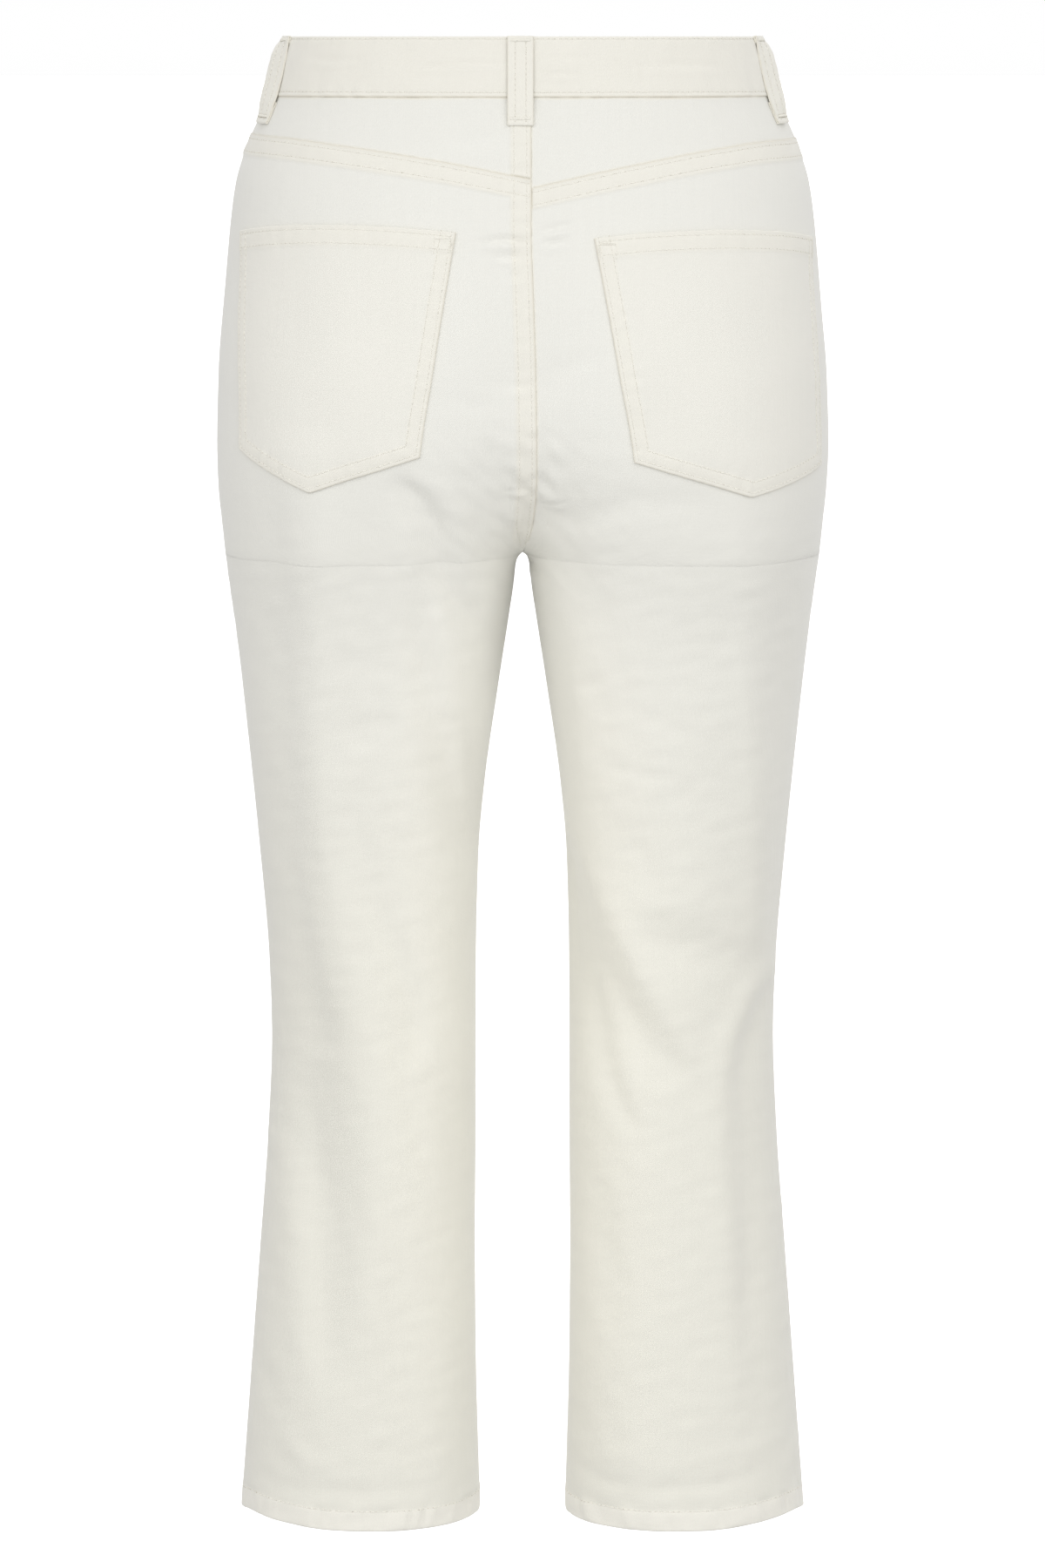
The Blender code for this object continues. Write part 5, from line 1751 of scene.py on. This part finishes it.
def makeLoop(name, *plan):
    strip = LoopStrip(*plan)
    across, out = stripSection()
    height, size = loopPlan["rough"]
    rough = height * softNoise(strip.drops[:, None], across[None, :], size, 600 + len(name))
    points = strip.at(across[None, :], out[None, :] + rough)
    rows, columns = points.shape[:2]
    tube = gridQuads(rows, columns, closed=True)
    caps = np.array([np.arange(columns)[::-1], np.arange(columns) + (rows - 1) * columns])
    flat = points.reshape(-1, 3)
    weave = np.stack(np.broadcast_arrays(across, -strip.walk[:, None]), -1).reshape(-1, 2) * mm
    # painted warm shade along both edges of the strip
    atEdge = smoothStep(np.abs(across), *(loopPlan["width"] / 2 - np.array(loopPlan["edgeZone"])))
    ply = np.broadcast_to(1 + loopPlan["edgeTint"] * atEdge, (rows, columns)).ravel()
    piece = makeMesh(name + "_cloth", flat, facesOutward(flat, [tube, caps]), weave, ply, layeredTwill)
    sewLoop(name, strip)
    finishPiece(piece, "twill", name)
    declareCloth(name)


for name, row in loops.items():
    makeLoop(name, *row)
print("belt loops made")

# The fly shield: a strip behind the front opening
flyShield = {
    "arcs": (-20.0, 20.0),
    "drops": (37.0, 172.0),
    "wall": 1.2,
    "under": 0.5,  # how far it lies behind the cloth
    "edge": 1.5,  # the radius of its edges, and their thickness as a part of the wall
    "thinEdge": 0.2,
}


def makeFlyShield():
    plan = flyShield
    arc = plan["arcs"][0] + np.ptp(plan["arcs"]) * np.linspace(0, 1, 41)[None, :]
    drop = plan["drops"][0] + np.ptp(plan["drops"]) * np.linspace(0, 1, 91)[:, None]
    drop, arc = np.broadcast_arrays(drop, arc)
    fromEdge = np.minimum(np.minimum(arc - arc[0, 0], arc[0, -1] - arc),
                          np.minimum(drop - drop[0, 0], drop[-1, 0] - drop))
    half = plan["wall"] / 2
    middle = -seams["cloth"] - plan["under"] - half
    swell = half * (plan["thinEdge"] + (1 - plan["thinEdge"]) * rounded(fromEdge, plan["edge"]))
    skin = Skin(left, "front", drop, arc)
    piece = clothWall("fly_shield_cloth", skin.lift(middle + swell), skin.lift(middle - swell),
                      skin.weave(), 1.0, layeredTwill)
    finishPiece(piece, "twill", "fly_shield")
    declareCloth("fly_shield")


makeFlyShield()

# The waist button, turned, with its shank
button = {
    "profile": {
        "columns": ("along", "radius", "height"),
        "rows": ((0, 0.0, 3.05), (1, 1.6, 3.0), (2, 4.4, 2.95), (3, 5.2, 3.15), (4, 6.2, 3.5),
                 (5, 7.4, 3.5), (6, 8.2, 3.1), (7, 8.5, 2.5), (8, 8.4, 1.9), (9, 7.6, 1.4),
                 (10, 4.0, 1.2), (11, 3.4, 0.9), (12, 3.4, 0.1), (13, 0.0, 0.0)),
    },
    "segments": 64,
    "seat": 0.3,  # how far its back stands off the band
}
buttonhole = {
    "ends": (-3.0, 17.0),
    "half": 2.6,  # half its width
    "points": 90,  # the zigzag's points, how far they swing, and how full its ends are
    "swing": 0.75,
    "fullness": 0.7,
    "lift": 0.12,
}


def makeButton():
    # a turned profile: radius and height along a smooth line, carried round the axis
    last = button["profile"]["rows"][-1][0]
    along = np.linspace(0, last, 5 * last + 1)
    radius = readTable(button["profile"], "radius", along)[1:-1]
    height = readTable(button["profile"], "height", along)
    turn = np.arange(button["segments"]) * 2 * math.pi / button["segments"]
    ring = np.stack([radius[:, None] * np.cos(turn), radius[:, None] * np.sin(turn),
                     np.broadcast_to(height[1:-1, None], (len(radius), len(turn)))], -1)
    local = np.vstack([ring.reshape(-1, 3), [[0, 0, height[0]], [0, 0, height[-1]]]])
    rows, columns = ring.shape[:2]
    tube = gridQuads(rows, columns, closed=True)
    around = np.arange(columns)
    after = np.roll(around, -1)
    front, back = np.full(columns, rows * columns), np.full(columns, rows * columns + 1)
    lowest = (rows - 1) * columns
    caps = [np.stack([front, after, around], 1), np.stack([back, lowest + around, lowest + after], 1)]
    lift = band["raise"] + button["seat"]
    skin = Skin(left, "front", np.full(1, bandMiddle), np.zeros(1))
    seat, above = skin.lift(lift)[0], skin.lift(lift + 1)[0]
    out = (above - seat) / np.linalg.norm(above - seat)
    across = np.array([1.0, 0.0, 0.0])
    up = np.cross(out, across)
    up /= np.linalg.norm(up)
    across = np.cross(up, out)
    points = seat + (local @ np.array([across, up, out])) * mm
    faceSets = facesOutward(points, [tube, np.vstack(caps)])
    piece = makeMesh("button_turned", points, faceSets, None, None, nickel)
    finishPiece(piece, "button_metal", "button")


def sewButtonhole():
    # short bars across a long oval, close together
    (start, end), half = buttonhole["ends"], buttonhole["half"]
    turn = np.linspace(0, 2 * math.pi, buttonhole["points"])
    cos = np.cos(turn)
    swing = buttonhole["swing"] * np.where(np.arange(len(turn)) % 2, 1, -1)
    lengthways = (end - start) / 2 * np.sign(cos) * np.abs(cos) ** buttonhole["fullness"]
    arc = (start + end) / 2 + lengthways + swing * cos
    drop = bandMiddle + (half + swing) * np.sin(turn)
    height = band["raise"] + band["bulge"] + buttonhole["lift"]
    skin = Skin(left, "front", drop, arc)
    lengths = np.hypot(np.diff(drop), np.diff(arc))
    sewRow("buttonhole", skin.lift(height), skin.lift(height + 0.5), lengths.mean())
    makeStitches("buttonhole")


makeButton()
sewButtonhole()
print("fly shield and button made")

# The studio, in metres. A sun has a place, a strength and an angle in degrees; a strip has a
# place, a power, a width and a length, and a tone.
studio = {
    "floor": -1.15,
    "camera": (0.0, 4.2, 0.018),
    "lookAt": (0.0, 0.0, -0.42464),
    "lens": 163.107,
    "floorTone": (0.90, 0.90, 0.895, 1.0),
    "floorGlow": 0.6,
    "skyEdge": (1.0, 1.0, 1.0, 1.0),
    "skyFront": (0.55, 0.55, 0.55, 1.0),  # before and behind the garment
    "skySide": (0.75, 0.74, 0.73, 1.0),  # and at its sides
    "horizon": 0.05,
    "suns": {
        "leftKey": ((1.9, 3.0, 2.0), 0.685, 40),
        "rightKey": ((-1.9, 3.0, 2.0), 0.725, 40),
        "fillLight": ((-0.8, -3.0, 3.4), 0.75, 70),
    },
    "strips": {
        "backStrip": ((0.0, 0.55, -0.42), 0.38, 0.2, 0.9, (1.0, 1.0, 1.0)),
        "frontStrip": ((0.0, -0.55, -0.42), 0.3, 0.2, 0.9, (1.0, 1.0, 1.0)),
        "gapStrip": ((0.0, 0.13, -0.57), 0.024, 0.03, 0.48, (1.0, 0.93, 0.80)),  # on the inner legs
    },
}


def makeFloor():
    # a wide square that glows white and throws no light on the cloth
    size = 200.0
    corners = np.array([[-size, -size], [size, -size], [size, size], [-size, size]])
    points = np.column_stack([corners, np.full(4, studio["floor"])])
    material = Paint("paleFloor").finish({
        "Base Color": studio["floorTone"],
        "Roughness": 0.9,
        "Specular IOR Level": 0.1,
        "Emission Color": (1.0, 1.0, 1.0, 1.0),
        "Emission Strength": studio["floorGlow"],
    })
    floor = makeMesh("floor", points, [np.array([[0, 1, 2, 3]])], None, None, material)
    floor.visible_diffuse = False
    floor.visible_glossy = False


def makeSky():
    # darker towards the sides, as x^2, and white in a thin band at the horizon, where it
    # meets the floor: exp(-(height / width)^2)
    world = bpy.data.worlds.new("studioSky")
    bpy.context.scene.world = world
    paint = Paint("studioSky", world)
    way = paint.node("ShaderNodeTexCoord")["Generated"]
    part = paint.split(way)
    sky = paint.mix(part["X"] * part["X"], studio["skyFront"], studio["skySide"])
    rim = (part["Z"] * part["Z"] * (-1 / studio["horizon"] ** 2)).maths("EXPONENT")
    paint.feed(paint.tree.nodes["Background"].inputs["Color"], paint.mix(rim, sky, studio["skyEdge"]))


def placeLamp(name, light, place, target):
    lamp = bpy.data.objects.new(name, light)
    lamp.location = place
    lamp.rotation_euler = (Vector(target) - Vector(place)).to_track_quat("-Z", "Y").to_euler()
    lamp.visible_camera = False
    bpy.context.scene.collection.objects.link(lamp)


def makeSun(name, place, energy, angle):
    light = bpy.data.lights.new(name, "SUN")
    light.energy = energy
    light.angle = math.radians(angle)
    placeLamp(name, light, place, (0, 0, 0))


def makeStrip(name, place, energy, width, length, tone):
    # a tall soft lamp that faces the garment's middle
    light = bpy.data.lights.new(name, "AREA")
    light.shape = "RECTANGLE"
    light.size, light.size_y = width, length
    light.energy = energy
    light.color = tone
    placeLamp(name, light, place, (0, 0, place[2]))


def makeCamera():
    data = bpy.data.cameras.new("camera")
    data.lens = studio["lens"]
    data.sensor_width = 36.0
    camera = bpy.data.objects.new("camera", data)
    camera.location = studio["camera"]
    way = Vector(studio["lookAt"]) - Vector(studio["camera"])
    camera.rotation_euler = way.to_track_quat("-Z", "Y").to_euler()
    bpy.context.scene.collection.objects.link(camera)
    bpy.context.scene.camera = camera


makeFloor()
makeSky()
for name, plan in studio["suns"].items():
    makeSun(name, *plan)
for name, plan in studio["strips"].items():
    makeStrip(name, *plan)
makeCamera()
bpy.context.scene.view_settings.view_transform = "Standard"
print("studio made")

bpy.context.view_layer.update()
